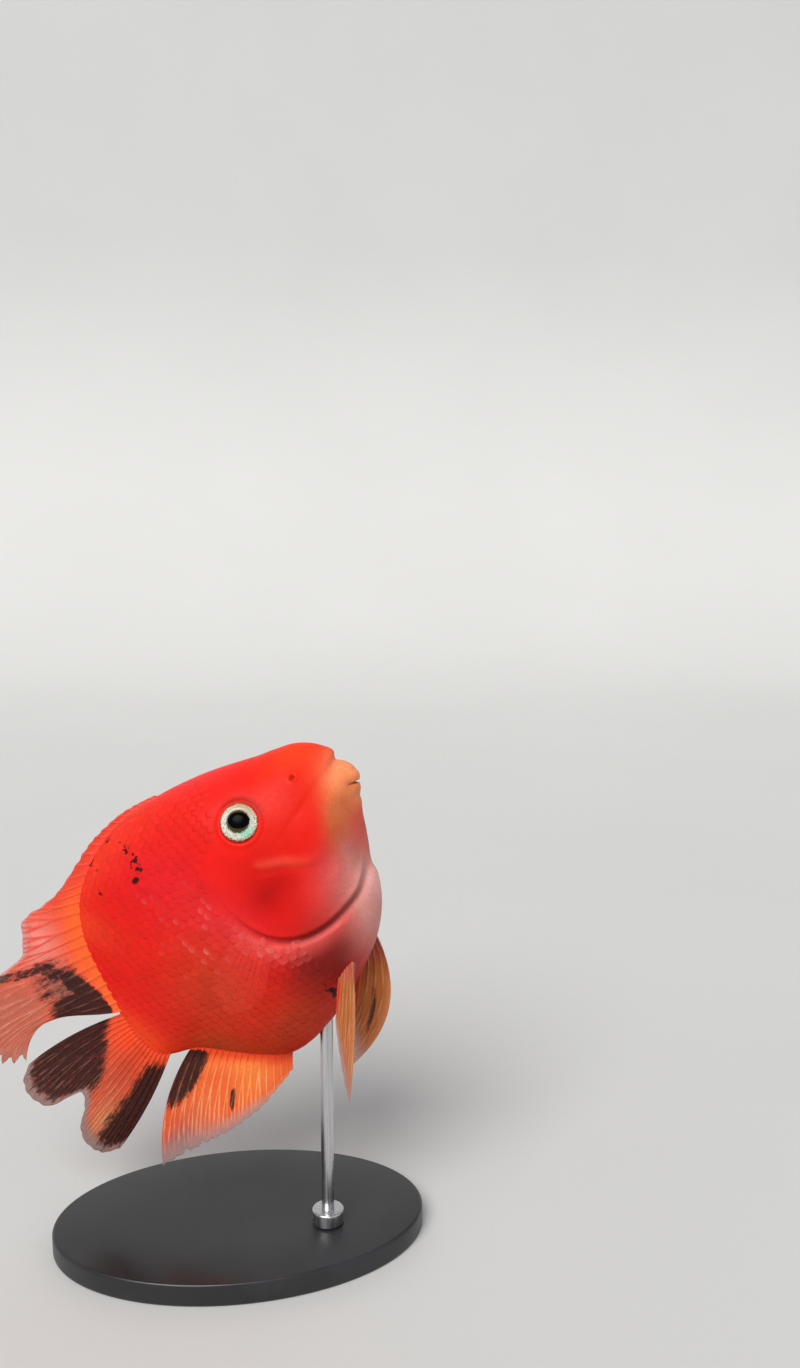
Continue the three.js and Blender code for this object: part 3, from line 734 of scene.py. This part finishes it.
def scale_lie(root, side, tree):
    """A scale's root in the world, and the directions to the tail and across there."""
    behind = root + np.array([-1.0, 0, 0])
    behind[1] = side * flank(behind[0], behind[2])
    here = to_world(root)
    normal = np.array(tree.find_nearest(Vector(here))[1])
    along = to_world(behind) - here
    along -= normal * np.dot(along, normal)
    along /= max(np.linalg.norm(along), 1e-9)
    return here, along, np.cross(normal, along)


def scale_points(places, length, width, lift, lie, tree):
    """Top and underside of a scale on the skin, its free end lifted and its rim rolled down."""
    here, along, across = lie
    top, under = [], []
    for k, (p, q) in enumerate(places):
        near, normal, _, _ = tree.find_nearest(Vector(here + (along * p + across * q) * MM))
        rolled = RIM_ROLL if k > SPOKES * 2 else 0.0
        rise = lift * (0.12 + p / length * 1.3) - 0.02 * (q / (0.5 * width)) ** 2 - rolled
        top.append(np.array(near) + np.array(normal) * rise * MM)
        under.append(np.array(near) + np.array(normal) * (rise - SCALE_THICK) * MM)
    return top + [under[0]] + under[-SPOKES:]


def scale_faces(first):
    """Faces of one closed scale, from the number of its first point."""
    rings = [first + 1 + k * SPOKES for k in range(len(RING_AT))]
    under_middle = rings[-1] + SPOKES
    under_rim = under_middle + 1
    pairs = [(i, (i + 1) % SPOKES) for i in range(SPOKES)]
    faces = [[first, rings[0] + i, rings[0] + j] for i, j in pairs]
    for a, b in zip(rings, rings[1:]):
        faces += [[a + i, b + i, b + j, a + j] for i, j in pairs]
    for i, j in pairs:
        faces.append([rings[-1] + i, under_rim + i, under_rim + j, rings[-1] + j])
        faces.append([under_middle, under_rim + j, under_rim + i])
    return faces


def make_scales(side, tree, word):
    """Overlapping thin solids with round free edges that point to the tail."""
    points, faces, patch, tint, in_fish = [], [], [], [], []
    glint = colour(*GLINT)
    for root, arc in scale_roots(side):
        jitter = rng.normal(0, 1, 5)
        size = np.interp(root[0], [-64, -45], [0.72, 1])
        length = SCALE_LENGTH * (1 + 0.05 * jitter[0]) * size
        width = SCALE_WIDTH * (1 + 0.05 * jitter[1]) * size
        lift = SCALE_LIFT * (1 + 0.2 * jitter[2])
        places = scale_outline(length, width)
        faces += scale_faces(len(points))
        points += scale_points(places, length, width, lift, scale_lie(root, side, tree), tree)
        p, q = np.array(places + [places[0]] + places[-SPOKES:]).T
        u, v = MAP_MIDDLE[side] + root[0] / MAP_LENGTH, 0.5 - arc / MAP_HEIGHT
        patch.append(np.stack([u + p * PATCH, v + q * PATCH], -1))
        in_fish.append(np.stack([root[0] - p, np.full_like(p, root[1]), root[2] + q * 0.9], -1))
        base = body_tint(root[0] - p, root[2] + q)
        bright = 1 + 0.03 * jitter[3]
        # Painted glints on the scales' free edges, in loose groups
        stroke = 0.38 * glints(root[0], root[2]) * max(0.0, jitter[4]) * patchy(root[0], root[2])
        rim = smooth(0.1, 0.5, p / length) * smooth(0.55, 0.3, np.abs(q) / width)
        tint.append(base * bright + (glint - base) * min(0.55, stroke) * rim[:, None])
    in_fish = np.concatenate(in_fish)
    made = mesh_object("scales_" + word, points, faces, {
        "tint": np.clip(np.concatenate(tint), 0, 1),
        "dark": body_specks(in_fish[:, 0], in_fish[:, 2]),
        "fish": in_fish,
        "hollow": np.zeros(len(points)),
    })
    layer = made.data.uv_layers.new(name="OFBake")
    corner = np.empty(len(made.data.loops), np.int32)
    made.data.loops.foreach_get("vertex_index", corner)
    layer.data.foreach_set("uv", np.concatenate(patch).astype(np.float32)[corner].ravel())
    return made


# Fins

# Half thicknesses: the membrane, a ray's tip and what is added at the fin's root
MEMBRANE, RAY_TIP, ROOT_SWELL = 0.17, 0.2, 0.9
SUNK = 5.0  # how far a fin's root lies inside the body
# How far a ray's branches part at its two forks, in spaces between rays
FORKS = (0.24, 0.115)


def ray_ridge(phase, v, soft, fork_at):
    """Share of ray at each place; a soft ray parts in two and then in four."""
    nearest = np.round(phase).astype(int)
    off = (phase - nearest)[:, None]
    start = fork_at[nearest][:, None]
    fork = soft * FORKS[0] * smooth(start, start + 0.4, v)
    second = soft * FORKS[1] * smooth(start + 0.25, start + 0.6, v)
    width = 0.16 - 0.1 * np.minimum(1, v * 1.3)
    branches = [side * fork + twig * second for side in (-1, 1) for twig in (-1, 1)]
    return np.max([bell(off - branch, width) for branch in branches], axis=0)


def fin_grid(rays, columns, steps, ray, wave, notch, fringe, spines=0, ray_root=0.62, late=0, seed=0):
    """A fin as a grid over u, from first ray to last, and v, from root to tip. Rays bow most at their
    middle, or nearer the tip where late is 1."""
    draw = np.random.default_rng(seed)
    u = np.linspace(0, 1, (rays - 1) * columns + 1)
    v = np.linspace(0, 1, steps + 1)[None, :]
    phase = u * (rays - 1)
    soft = (np.round(phase) >= spines)[:, None]
    ridge = ray_ridge(phase, v, soft, 0.36 + 0.1 * draw.random(rays))
    between = np.sin(math.pi * phase) ** 2
    frayed = draw.normal(0, 1, rays)[np.minimum(phase.astype(int), rays - 1)]
    frayed = np.clip(1 + 0.6 * frayed, 0.2, 2.2)
    tears = draw.random(len(u)) * np.sin(4 * math.pi * phase) ** 2
    reach = 1 - notch * between * frayed - fringe * tears
    root, tip, bow = ray(u)
    w = v * reach[:, None]
    lift = bow[:, None] * (4 + late * (6.75 * w - 4)) * w * (1 - w)
    chord = tip - root
    p = root[:, None, 0] + chord[:, None, 0] * w + chord[:, None, 1] * lift
    q = root[:, None, 1] + chord[:, None, 1] * w - chord[:, None, 0] * lift
    size = np.hypot(chord[:, 0], chord[:, 1])[:, None]
    joints = 1 + 0.12 * np.sin(w * size * 4.2) * soft * smooth(0.2, 0.4, v)
    half = MEMBRANE * (1 - 0.5 * v) + ridge * (ray_root + (RAY_TIP - ray_root) * v) * joints
    out = w * size - SUNK
    half += ROOT_SWELL * bell(np.maximum(out, 0), 2.2)
    half *= smooth(-0.02, 0.06, 1 - v) * 0.75 + 0.25
    lane = np.stack([phase[:, None] + 0 * out, 0.05 * out, 0 * out], -1)
    return u, w, p, q, wave(u[:, None], w), half, ridge, out, lane


def fin_object(name, grid, place, paint):
    """Both faces of a fin, joined at its rim."""
    u, v, p, q, w, half, ridge, out, lane = grid
    n, m = p.shape
    sides = [place(p, q, w + face * half).reshape(-1, 3) for face in (1, -1)]
    points = np.concatenate(sides)
    index = np.arange(n * m).reshape(n, m)
    quads = np.stack([index[:-1, :-1], index[1:, :-1], index[1:, 1:], index[:-1, 1:]], -1).reshape(-1, 4)
    rim = np.concatenate([index[:-1, 0], index[-1, :-1], index[:0:-1, -1], index[0, :0:-1]])
    after = np.roll(rim, -1)
    wall = np.stack([rim, rim + n * m, after + n * m, after], -1)
    faces = np.concatenate([quads, quads[:, ::-1] + n * m, wall])
    u, v, ridge, out = (np.broadcast_to(part, (n, m)).ravel() for part in (u[:, None], v, ridge, out))
    tint, dark, ray_highlight, cover = paint(u, v, sides[0][:, 0], sides[0][:, 2], ridge, out)
    return mesh_object(name, to_world(points), faces, {
        "tint": np.clip(np.tile(tint, (2, 1)), 0, 1),
        "dark": np.tile(dark, 2),
        "ray_highlight": np.tile(np.clip(ray_highlight, 0, 1), 2),
        "cover": np.tile(np.clip(cover, 0, 1), 2),
        "lane": np.tile(lane.reshape(-1, 3), (2, 1)),
        "fish": points,
    })


def in_side_view(p, q, w):
    return np.stack([p, w, q], -1)


def median_ray(line, bow):
    """Rays of a fin on the body's edge, from a line of root direction and tip x, z."""
    line = np.array(line, float)
    start, span = line[0, 0], line[-1, 0] - line[0, 0]
    u_at = (line[:, 0] - start) / span
    tip_x, tip_z = through(u_at, line[:, 1]), through(u_at, line[:, 2])

    def ray(u):
        root = np.stack(edge(start + span * u, -SUNK), -1)
        return root, np.stack([tip_x(u), tip_z(u)], -1), bow(u)

    return ray


def inked(x, z, patches):
    """How dark each place is, from patches of x, z, radii, lean and strength."""
    dark = np.zeros(len(x))
    for *place, strength in patches:
        dark = np.maximum(dark, strength * smooth(1.35, 0.65, np.sqrt(lean(x, z, *place))))
    return dark


# What a paint gives for each place of a fin: its tint, how dark it is, how much painted highlight its rays
# carry and how much it covers. u runs from the first ray to the last, v from root to tip, out from the body.

def dorsal_paint(u, v, x, z, ridge, out):
    wide = 3 + 9 * smooth(4, 30, z)
    border = smooth(wide, 0.2 * wide, out) * smooth(-30, -46, x)
    hem = smooth(0.9, 0.97, v) * smooth(0.5, 0.6, u) * smooth(0.86, 0.78, u)
    stripes = np.clip(1.3 * np.exp(-lean(x, z, -66, 46, 14, 11, 60)), 0, 1)
    tint = washed((238, 82, 46), x, z, [
        (-10, 52, 44, 8, 0, (236, 62, 48), 0.8),
        (-67, 46, 12, 10, 60, (244, 142, 128), 1.2),
        (-72, 27, 10, 8, 115, (140, 90, 78), 1.1),
        (-104, 30, 27, 18, 10, (186, 98, 78), 1.5),
    ], [
        ((253, 100, 36), 0.95 * border),
        ((226, 166, 166), 0.8 * hem),
        ((226, 58, 44), 0.9 * stripes * ridge),
    ])
    dark = inked(x, z, [
        (-71, 25, 15, 12, 118, 0.55), (-72, 12, 15, 8, 140, 1.25), (-66, 19, 12, 4, 100, 1.25),
        (-82, 42.5, 17, 2.0, -31, 0.8), (-70, 33, 9, 3, 118, 0.8),
    ])
    dark *= smooth(0.3 * wide, 0.9 * wide, out)
    ray_highlight = 0.35 * ridge ** 2 * smooth(-56, -66, x) * (1 - stripes)
    return tint, dark, ray_highlight, 1 - 0.3 * smooth(0.8, 1, v)


def anal_paint(u, v, x, z, ridge, out):
    tint = washed((244, 108, 46), x, z, [
        (-40, -53, 15, 9, 20, (254, 158, 70), 1.1),
        (-66, -48, 16, 9, 30, (252, 140, 66), 0.9),
        (-90, -54, 16, 7, 10, (146, 112, 108), 1.2),
    ], [
        ((240, 72, 30), smooth(7, 0, out)),
        ((176, 144, 144), 0.85 * smooth(0.74, 0.97, v) * smooth(0.12, 0.36, u)),
        ((214, 60, 30), 0.5 * (1 - ridge) * smooth(0.2, 0.4, v) * smooth(0.95, 0.8, v)),
    ])
    dark = inked(x, z, [(-62, -34.5, 17, 6.0, 12, 1.1)]) * smooth(0.4, 2, out)
    dark = np.maximum(dark, inked(x, z, [(-55.6, -55.2, 5.2, 1.1, 37, 1)]))
    ray_highlight = 0.6 * ridge * smooth(3, 10, out) * smooth(1.0, 0.85, v)
    return tint, dark, ray_highlight, 1 - 0.35 * smooth(0.75, 1, v)


def caudal_paint(u, v, x, z, ridge, out):
    tint = washed((204, 82, 50), x, z, [
        (-66, -12, 10, 16, 0, (248, 80, 36), 1.1),
        (-84, -15, 20, 5, 0, (190, 66, 40), 0.9),
        (-104, -24, 12, 5, 22, (202, 126, 84), 1.0),
    ], [((150, 128, 122), 0.9 * smooth(0.84, 0.95, v))])
    upper = smooth(0.55, 0.4, u) * smooth(30 * u, 8 + 40 * u, out)
    lower = smooth(0.68, 0.86, u) * smooth(0, 9, out)
    dark = np.maximum(1.15 * upper, 1.3 * lower) * (1 - 0.8 * smooth(0.84, 0.98, v))
    ray_highlight = 0.4 * ridge ** 2 * smooth(8, 18, out) * smooth(1.0, 0.8, v) * smooth(0.85, 0.7, u)
    return tint, dark, ray_highlight, 1 - 0.25 * smooth(0.85, 1, v)


def pelvic_paint(streak):
    """The paint of a pelvic fin, with a dark streak along its middle or without one."""
    def paint(u, v, x, z, ridge, out):
        # The brown base is the fin's own tan, darkened with painted shade
        tint = washed((166, 96, 42), x, z, (), [
            ((202, 36, 18), 0.9 * smooth(0.34, 0.04, u) * smooth(0.3, 0.45, v) * smooth(1.0, 0.7, v)),
            ((206, 140, 96), 0.5 * smooth(0.8, 1.0, u) * smooth(6, 16, out)),
            ((178, 84, 66), 0.9 * smooth(8, 2, out)),
            ((176, 120, 104), 0.7 * smooth(0.75, 0.95, v)),
        ])
        middle = bell(u - 0.62 - 0.25 * (v - 0.5), 0.06)
        dark = streak * middle * smooth(0.35, 0.5, v) * smooth(0.85, 0.7, v)
        return tint, dark, 0.3 * ridge, 1 - 0.55 * smooth(0.75, 1, v)

    return paint


def pectoral_paint(u, v, x, z, ridge, out):
    tint = washed((232, 84, 70), x, z, (), [((228, 40, 28), smooth(6, 1, out))])
    cover = 0.03 + 0.12 * ridge * smooth(1.0, 0.5, v) + 0.5 * smooth(4.0, 0.5, out)
    return tint, 0 * u, 0.1 * ridge, cover * smooth(0.4, -1.2, inside_opercle(x, z))


# Root direction in degrees, then x and z of the tip
DORSAL_LINE = [
    (71, 12, 51), (88, 0, 55.2), (100, -12, 56.6), (110, -22, 56.2), (118, -33, 54.2), (124, -43, 53),
    (130, -53, 54.4), (135, -62.5, 56.6), (139, -69, 51), (143, -76, 46.8), (148, -88, 48.4),
    (152.5, -102, 46.4), (157, -113, 39.6), (162.5, -119, 31), (169.5, -116, 22.4), (177, -107, 16.4),
]
ANAL_LINE = [
    (245, -30, -64.8), (239, -39, -65.6), (234, -49, -66), (229, -59, -64.8), (223, -69, -63),
    (217, -80, -59.8), (211, -90, -57), (206, -100, -54.6),
]
CAUDAL_LINE = [
    (178.5, -108, 14.8), (180, -117, 11.4), (182, -120, 4), (184, -116.5, -3.4), (186.5, -101, -8.8),
    (188.5, -104, -14), (190.5, -112.5, -18.6), (193, -116.6, -25), (195.5, -115.4, -32.4),
    (198, -108, -36.6),
]


# For each fin on the body's edge: its line, paint, rays, columns to a ray, how far its rays bow, how it
# waves, and how its edge and rays differ from the plain ones
MEDIAN_FINS = {
    "dorsal": (
        DORSAL_LINE, dorsal_paint, 27, 14, lambda u: -0.05 * u + 0.25 * u ** 8,
        lambda u, v: 1.6 * v * np.sin(9 * u + 1.5 * v),
        {"notch": 0.03, "fringe": 0.012, "spines": 15, "late": 1, "seed": 11},
    ),
    "anal": (
        ANAL_LINE, anal_paint, 17, 18, lambda u: 0.03 + 0.06 * u * u,
        lambda u, v: 1.4 * v * np.sin(7 * u + 2),
        {"notch": 0.025, "fringe": 0.02, "spines": 5, "seed": 12},
    ),
    "caudal": (
        CAUDAL_LINE, caudal_paint, 17, 18, lambda u: 0.05 - 0.09 * u,
        lambda u, v: 1.2 * v * np.sin(8 * u),
        {"notch": 0.006, "fringe": 0.002, "seed": 13},
    ),
}


def make_median_fin(kind):
    line, paint, rays, columns, bow, wave, edge_and_rays = MEDIAN_FINS[kind]
    grid = fin_grid(rays, columns, 60, median_ray(line, bow), wave, **edge_and_rays)
    return fin_object(kind + "_sheet", grid, in_side_view, paint)


# Directions along the fin's middle and across its rays, and the length of rays from first to last
PECTORAL = {
    "root": (10, -15), "along": (-0.89, 0.24, -0.38), "across": (-0.38, 0.1, 0.92), "root_width": 8,
    "fan": 34, "lengths": (24, 31, 34, 33, 29, 22), "bow": 0, "curl": 1.5, "tuck": 0,
    "rays": 10, "notch": 0.03, "seed": 20,
}
PELVIC = {"rays": 6, "notch": 0.01, "seed": 21}
PELVIC_RIGHT = PELVIC | {
    "root": (18.5, -50.5), "along": (-0.733, 0.351, -0.577), "across": (0.66, 0.55, -0.5), "root_width": 4.6,
    "fan": 10, "lengths": (21, 27, 34, 42, 50), "bow": -0.04, "curl": 2, "tuck": 0.1,
}
PELVIC_LEFT = PELVIC | {
    "root": (25, -53), "along": (-0.83, 0.06, -0.55), "across": (0.6, 0, -0.8), "root_width": 7,
    "fan": -4, "lengths": (26, 36, 44, 49, 52), "bow": -0.19, "curl": -3, "tuck": 0,
}
TUCK_REACH = 5.5  # how far out from its root a fin is tucked in


def make_paired_fin(name, side, shape, paint):
    """A fin of a pair, its root on the flank and its front corner tucked into the body."""
    a = Vector(shape["along"]).normalized()
    b = Vector(shape["across"])
    b = (b - a * a.dot(b)).normalized()
    n = a.cross(b)
    x, z = shape["root"]
    base = np.array([x, float(flank(x, z)), z])
    length = through(np.linspace(0, 1, len(shape["lengths"])), shape["lengths"])

    def ray(u):
        q = (u - 0.5) * shape["root_width"]
        angle = np.radians((u - 0.5) * shape["fan"])
        root = np.stack([np.full_like(u, -SUNK), q], -1)
        tip = np.stack([length(u) * np.cos(angle), q + length(u) * np.sin(angle)], -1)
        return root, tip, shape["bow"] * u

    def place(p, q, w):
        at = base + p[..., None] * np.array(a) + q[..., None] * np.array(b) + w[..., None] * np.array(n)
        at[..., 1] -= shape["tuck"] * np.maximum(0, TUCK_REACH - p) ** 2
        at[..., 1] *= side
        return at

    def curl(u, v):
        return shape["curl"] * v * v + 0 * u

    notch = shape["notch"]
    grid = fin_grid(shape["rays"], 18, 50, ray, curl, notch, 0.3 * notch, ray_root=0.5, seed=shape["seed"])
    return fin_object(name, grid, place, paint)


# Eyes

DOME = 0.35  # how far the pupil stands out
RING_DIP = 0.28


def pupil_share(a, b):
    """0 at the middle of the pupil and 1 on its edge; it is longer from brow to chin."""
    return np.hypot((a - b - 0.4) / 5.8, (a + b - 0.4) / 4.5)


def make_eye(side, word):
    """An eyeball with a domed pupil in a shallow ringed iris."""
    rows, columns = 60, 96
    polar = np.linspace(0, math.pi, rows + 2)[1:-1, None]
    around = np.linspace(0, TURN, columns, endpoint=False)[None, :]
    disc = np.sin(polar) * EYE["radius"]
    a, b = disc * np.cos(around), disc * np.sin(around)
    oval = pupil_share(a, b)
    dome = DOME * smooth(1.05, 0.6, oval) - RING_DIP * bell(oval - 1.3, 0.25)
    outward = np.cos(polar) * EYE["depth"] + 0 * around + (np.cos(polar) > 0) * dome
    poles = np.array([[0, EYE["depth"] + DOME, 0], [0, -EYE["depth"], 0]])
    local = np.concatenate([poles[:1], np.stack([a, outward, b], -1).reshape(-1, 3), poles[1:]])
    a, outward, b = local.T
    backward = outward < 0
    attributes = {
        "radial": np.where(backward, 1, np.hypot(a, b) / EYE["radius"]),
        "pupil": np.where(backward, 2, pupil_share(a, b)),
        # Painted pale green glint low on the iris; painted shade on the iris's upper side, under the brow
        "mint_glint": np.exp(-lean(a, b, -0.6, -5.0, 2.4, 1.4, -20)),
        "iris_top_shade": smooth(1.5, 6.5, 0.85 * a + 0.55 * b),
    }
    turn = Matrix.Rotation(math.radians(side * EYE["turn"]), 3, "Z")
    tilt = Matrix.Rotation(math.radians(side * EYE["tilt"]), 3, "X")
    at = np.array([EYE["x"], side * (float(flank(EYE["x"], EYE["z"])) - EYE["sunk"]), EYE["z"]])
    points = local * (1, side, 1) @ np.array(tilt @ turn).T + at
    attributes["fish"] = points
    return mesh_object("eyeball_" + word, to_world(points), closed_grid_faces(rows, columns), attributes)


# Stand

def lathe(name, profile, around, squash=(1.0, 1.0), at=(0.0, 0.0)):
    """A turned piece from a profile of (radius, height) that starts and ends on its axis."""
    angles = np.linspace(0, TURN, around, endpoint=False)
    inner = profile[1:-1]
    x, y = squash[0] * np.cos(angles), squash[1] * np.sin(angles)
    rows = [np.stack([at[0] + r * x, at[1] + r * y, np.full(around, h)], -1) for r, h in inner]
    ends = [np.array([[at[0], at[1], h]]) for _, h in (profile[0], profile[-1])]
    points = np.concatenate([ends[0], *rows, ends[1]])
    return mesh_object(name, points, closed_grid_faces(len(inner), around))


def rounded(radius, low, high, bevel, steps):
    """Profile of a disc with rounded edges."""
    quarter = [i / steps * math.pi / 2 for i in range(steps + 1)]
    bottom = [(radius - bevel + bevel * math.sin(t), low + bevel - bevel * math.cos(t)) for t in quarter]
    top = [(radius - bevel + bevel * math.cos(t), high - bevel + bevel * math.sin(t)) for t in quarter]
    return [(0, low), (radius * 0.5, low), *bottom, *top, (radius * 0.5, high), (0, high)]


BASE_BEVEL, ROD_BEVEL, COLLAR_BEVEL = 0.0014, 0.0003, 0.0009
ROD_INTO_FISH = 0.003


def make_stand():
    """An oval base, and a rod and its collar round one axis, in metres."""
    low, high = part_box("stand_base")
    rx, ry = high.x, high.y
    base = lathe("base_plate", rounded(1.0, low.z / rx, high.z / rx, BASE_BEVEL / rx, 6), 160, (rx, ry))
    for v in base.data.vertices:
        v.co.z *= rx
    low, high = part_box("stand_rod")
    rod_at = (0.5 * (low.x + high.x), 0.5 * (low.y + high.y))
    profile = rounded(0.5 * (high.x - low.x), low.z, high.z + ROD_INTO_FISH, ROD_BEVEL, 3)
    rod = lathe("rod", profile, 48, at=rod_at)
    low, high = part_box("stand_collar")
    collar = lathe("collar", rounded(0.5 * (high.x - low.x), low.z, high.z, COLLAR_BEVEL, 5), 64, at=rod_at)
    return base, rod, collar


def base_material():
    n = Nodes("stand_black")
    where = n.place()
    grain = n.noise(where, 900, 3)
    wear = n.noise(where, 30, 4)
    tone = n.mix(n.ramp(wear, 0.4, 0.7), (0.012, 0.012, 0.014, 1), (0.022, 0.022, 0.025, 1))
    return n.finish(
        Base_Color=tone, Roughness=n.ramp(wear, 0.3, 0.7, 0.3, 0.42), Normal=n.bump(grain, 0.00004, 0.4),
    )


def metal_material():
    n = Nodes("stand_steel")
    where = n.place()
    lines = n.add("ShaderNodeMapping", {"Vector": where, "Scale": (2000.0, 2000.0, 40.0)}).outputs[0]
    brushed = n.noise(lines, 1.0, 3)
    tone = n.mix(n.ramp(brushed, 0.3, 0.7), (0.5, 0.5, 0.51, 1), (0.66, 0.66, 0.67, 1))
    return n.finish(
        Base_Color=tone, Metallic=1.0, Roughness=n.ramp(brushed, 0.3, 0.7, 0.22, 0.36),
        Normal=n.bump(brushed, 0.00002, 0.4),
    )


# Stage, light and camera

# In metres: where the floor starts, where it bends up, the bend's radius and the backdrop's top
FLOOR_FROM, FLOOR_TO, FLOOR_BEND, BACKDROP_TOP = -1.6, 1.4, 0.9, 3.0
FLOOR_HALF_WIDTH = 3.0


def make_stage():
    """A pale floor that curves up into a backdrop far behind."""
    turn = np.linspace(0.15, math.pi / 2, 12)
    depth = np.concatenate([np.linspace(FLOOR_FROM, FLOOR_TO, 9), FLOOR_TO + FLOOR_BEND * np.sin(turn)])
    rise = np.concatenate([np.zeros(9), FLOOR_BEND * (1 - np.cos(turn))])
    depth, rise = np.append(depth, depth[-1]), np.append(rise, BACKDROP_TOP)
    across = np.linspace(-FLOOR_HALF_WIDTH, FLOOR_HALF_WIDTH, 5)
    points = [(x, y, z) for y, z in zip(depth, rise) for x in across]
    starts = [5 * i + j for i in range(len(depth) - 1) for j in range(4)]
    floor = mesh_object("floor", points, [[k, k + 1, k + 6, k + 5] for k in starts])
    n = Nodes("floor_pale")
    where = n.place()
    tone = n.mix(n.noise(where, 3, 2), (0.6, 0.6, 0.59, 1), (0.64, 0.64, 0.63, 1))
    floor.data.materials.append(n.finish(Base_Color=tone, Roughness=0.7))


def sun(name, place, strength, softness, tone):
    """A soft distant light that shines from a direction."""
    data = bpy.data.lights.new(name, "SUN")
    data.energy = strength
    data.angle = math.radians(softness)
    data.color = tone
    light = bpy.data.objects.new(name, data)
    bpy.context.scene.collection.objects.link(light)
    light.rotation_euler = Vector(place).to_track_quat("Z", "Y").to_euler()


def make_lights():
    sun("key", (-0.5, -0.85, 1.0), strength=2.75, softness=35, tone=(1.0, 0.98, 0.95))
    sun("side", (0.9, -0.7, 0.25), strength=0.3, softness=60, tone=(0.95, 0.97, 1.0))
    world = bpy.data.worlds.new("studio")
    bpy.context.scene.world = world
    world.use_nodes = True
    air = world.node_tree.nodes["Background"]
    air.inputs["Color"].default_value = (0.92, 0.95, 1.0, 1)
    air.inputs["Strength"].default_value = 0.38
    bpy.context.scene.view_settings.view_transform = "Standard"


def make_camera():
    """The photograph's view: the same direction, distance and framing."""
    across = (FISH_PX[0] - FRAME_PX[0] / 2) / FOCAL_PX
    down = (FISH_PX[1] - FRAME_PX[1] / 2) / FOCAL_PX
    pitch_cos, pitch_sin = math.cos(CAMERA_DOWN), math.sin(CAMERA_DOWN)
    heading = math.atan2(-across, pitch_cos - pitch_sin * down)
    h_cos, h_sin = math.cos(heading), math.sin(heading)
    forward = Vector((h_sin * pitch_cos, h_cos * pitch_cos, -pitch_sin))
    right = Vector((h_cos, -h_sin, 0))
    up = right.cross(forward)
    distance = MM_PER_PX * FOCAL_PX
    place = (FISH_AT - (right * across - up * down + forward) * distance) * MM
    data = bpy.data.cameras.new("camera")
    data.sensor_width = SENSOR
    data.lens = SENSOR * FOCAL_PX / FRAME_PX[1]
    data.clip_start = 0.01
    camera = bpy.data.objects.new("camera", data)
    bpy.context.scene.collection.objects.link(camera)
    turn = Matrix([right, up, -forward]).transposed()
    camera.matrix_world = Matrix.Translation(place) @ turn.to_4x4()
    bpy.context.scene.camera = camera


# The object

def wear(piece, material, slot, *nodes):
    """A piece gets its material and rides on the one body, and the solids it stands for are hidden; its slot
    is not used.
    """
    piece.data.materials.append(material)
    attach(piece, "root")
    if nodes:
        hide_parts(*nodes)


make_camera()
make_stage()
make_lights()

skin = make_skin()
bare = ("head", "torso", "tail", "gill_cover_right", "gill_cover_left")
wear(skin, skin_material("skin_wet", False), "skin", *bare)
tree = BVHTree.FromObject(skin, bpy.context.evaluated_depsgraph_get())
scaled = skin_material("scales_wet", True)
for side, word in SIDES:
    wear(make_scales(side, tree, word), scaled, "skin")

fins = fin_material()
for kind in MEDIAN_FINS:
    wear(make_median_fin(kind), fins, "fin", kind + "_fin")
eyes = eye_material()
pelvics = {-1: (PELVIC_RIGHT, pelvic_paint(0)), 1: (PELVIC_LEFT, pelvic_paint(1))}
for side, word in SIDES:
    for kind, shape, paint in (("pectoral", PECTORAL, pectoral_paint), ("pelvic", *pelvics[side])):
        piece = make_paired_fin(kind + "_sheet_" + word, side, shape, paint)
        wear(piece, fins, "fin", kind + "_fin_" + word)
    wear(make_eye(side, word), eyes, "eye", "eye_" + word)

base, rod, collar = make_stand()
steel = metal_material()
wear(base, base_material(), "stand_base", "stand_base")
wear(rod, steel, "stand_metal", "stand_rod")
wear(collar, steel, "stand_metal", "stand_collar")
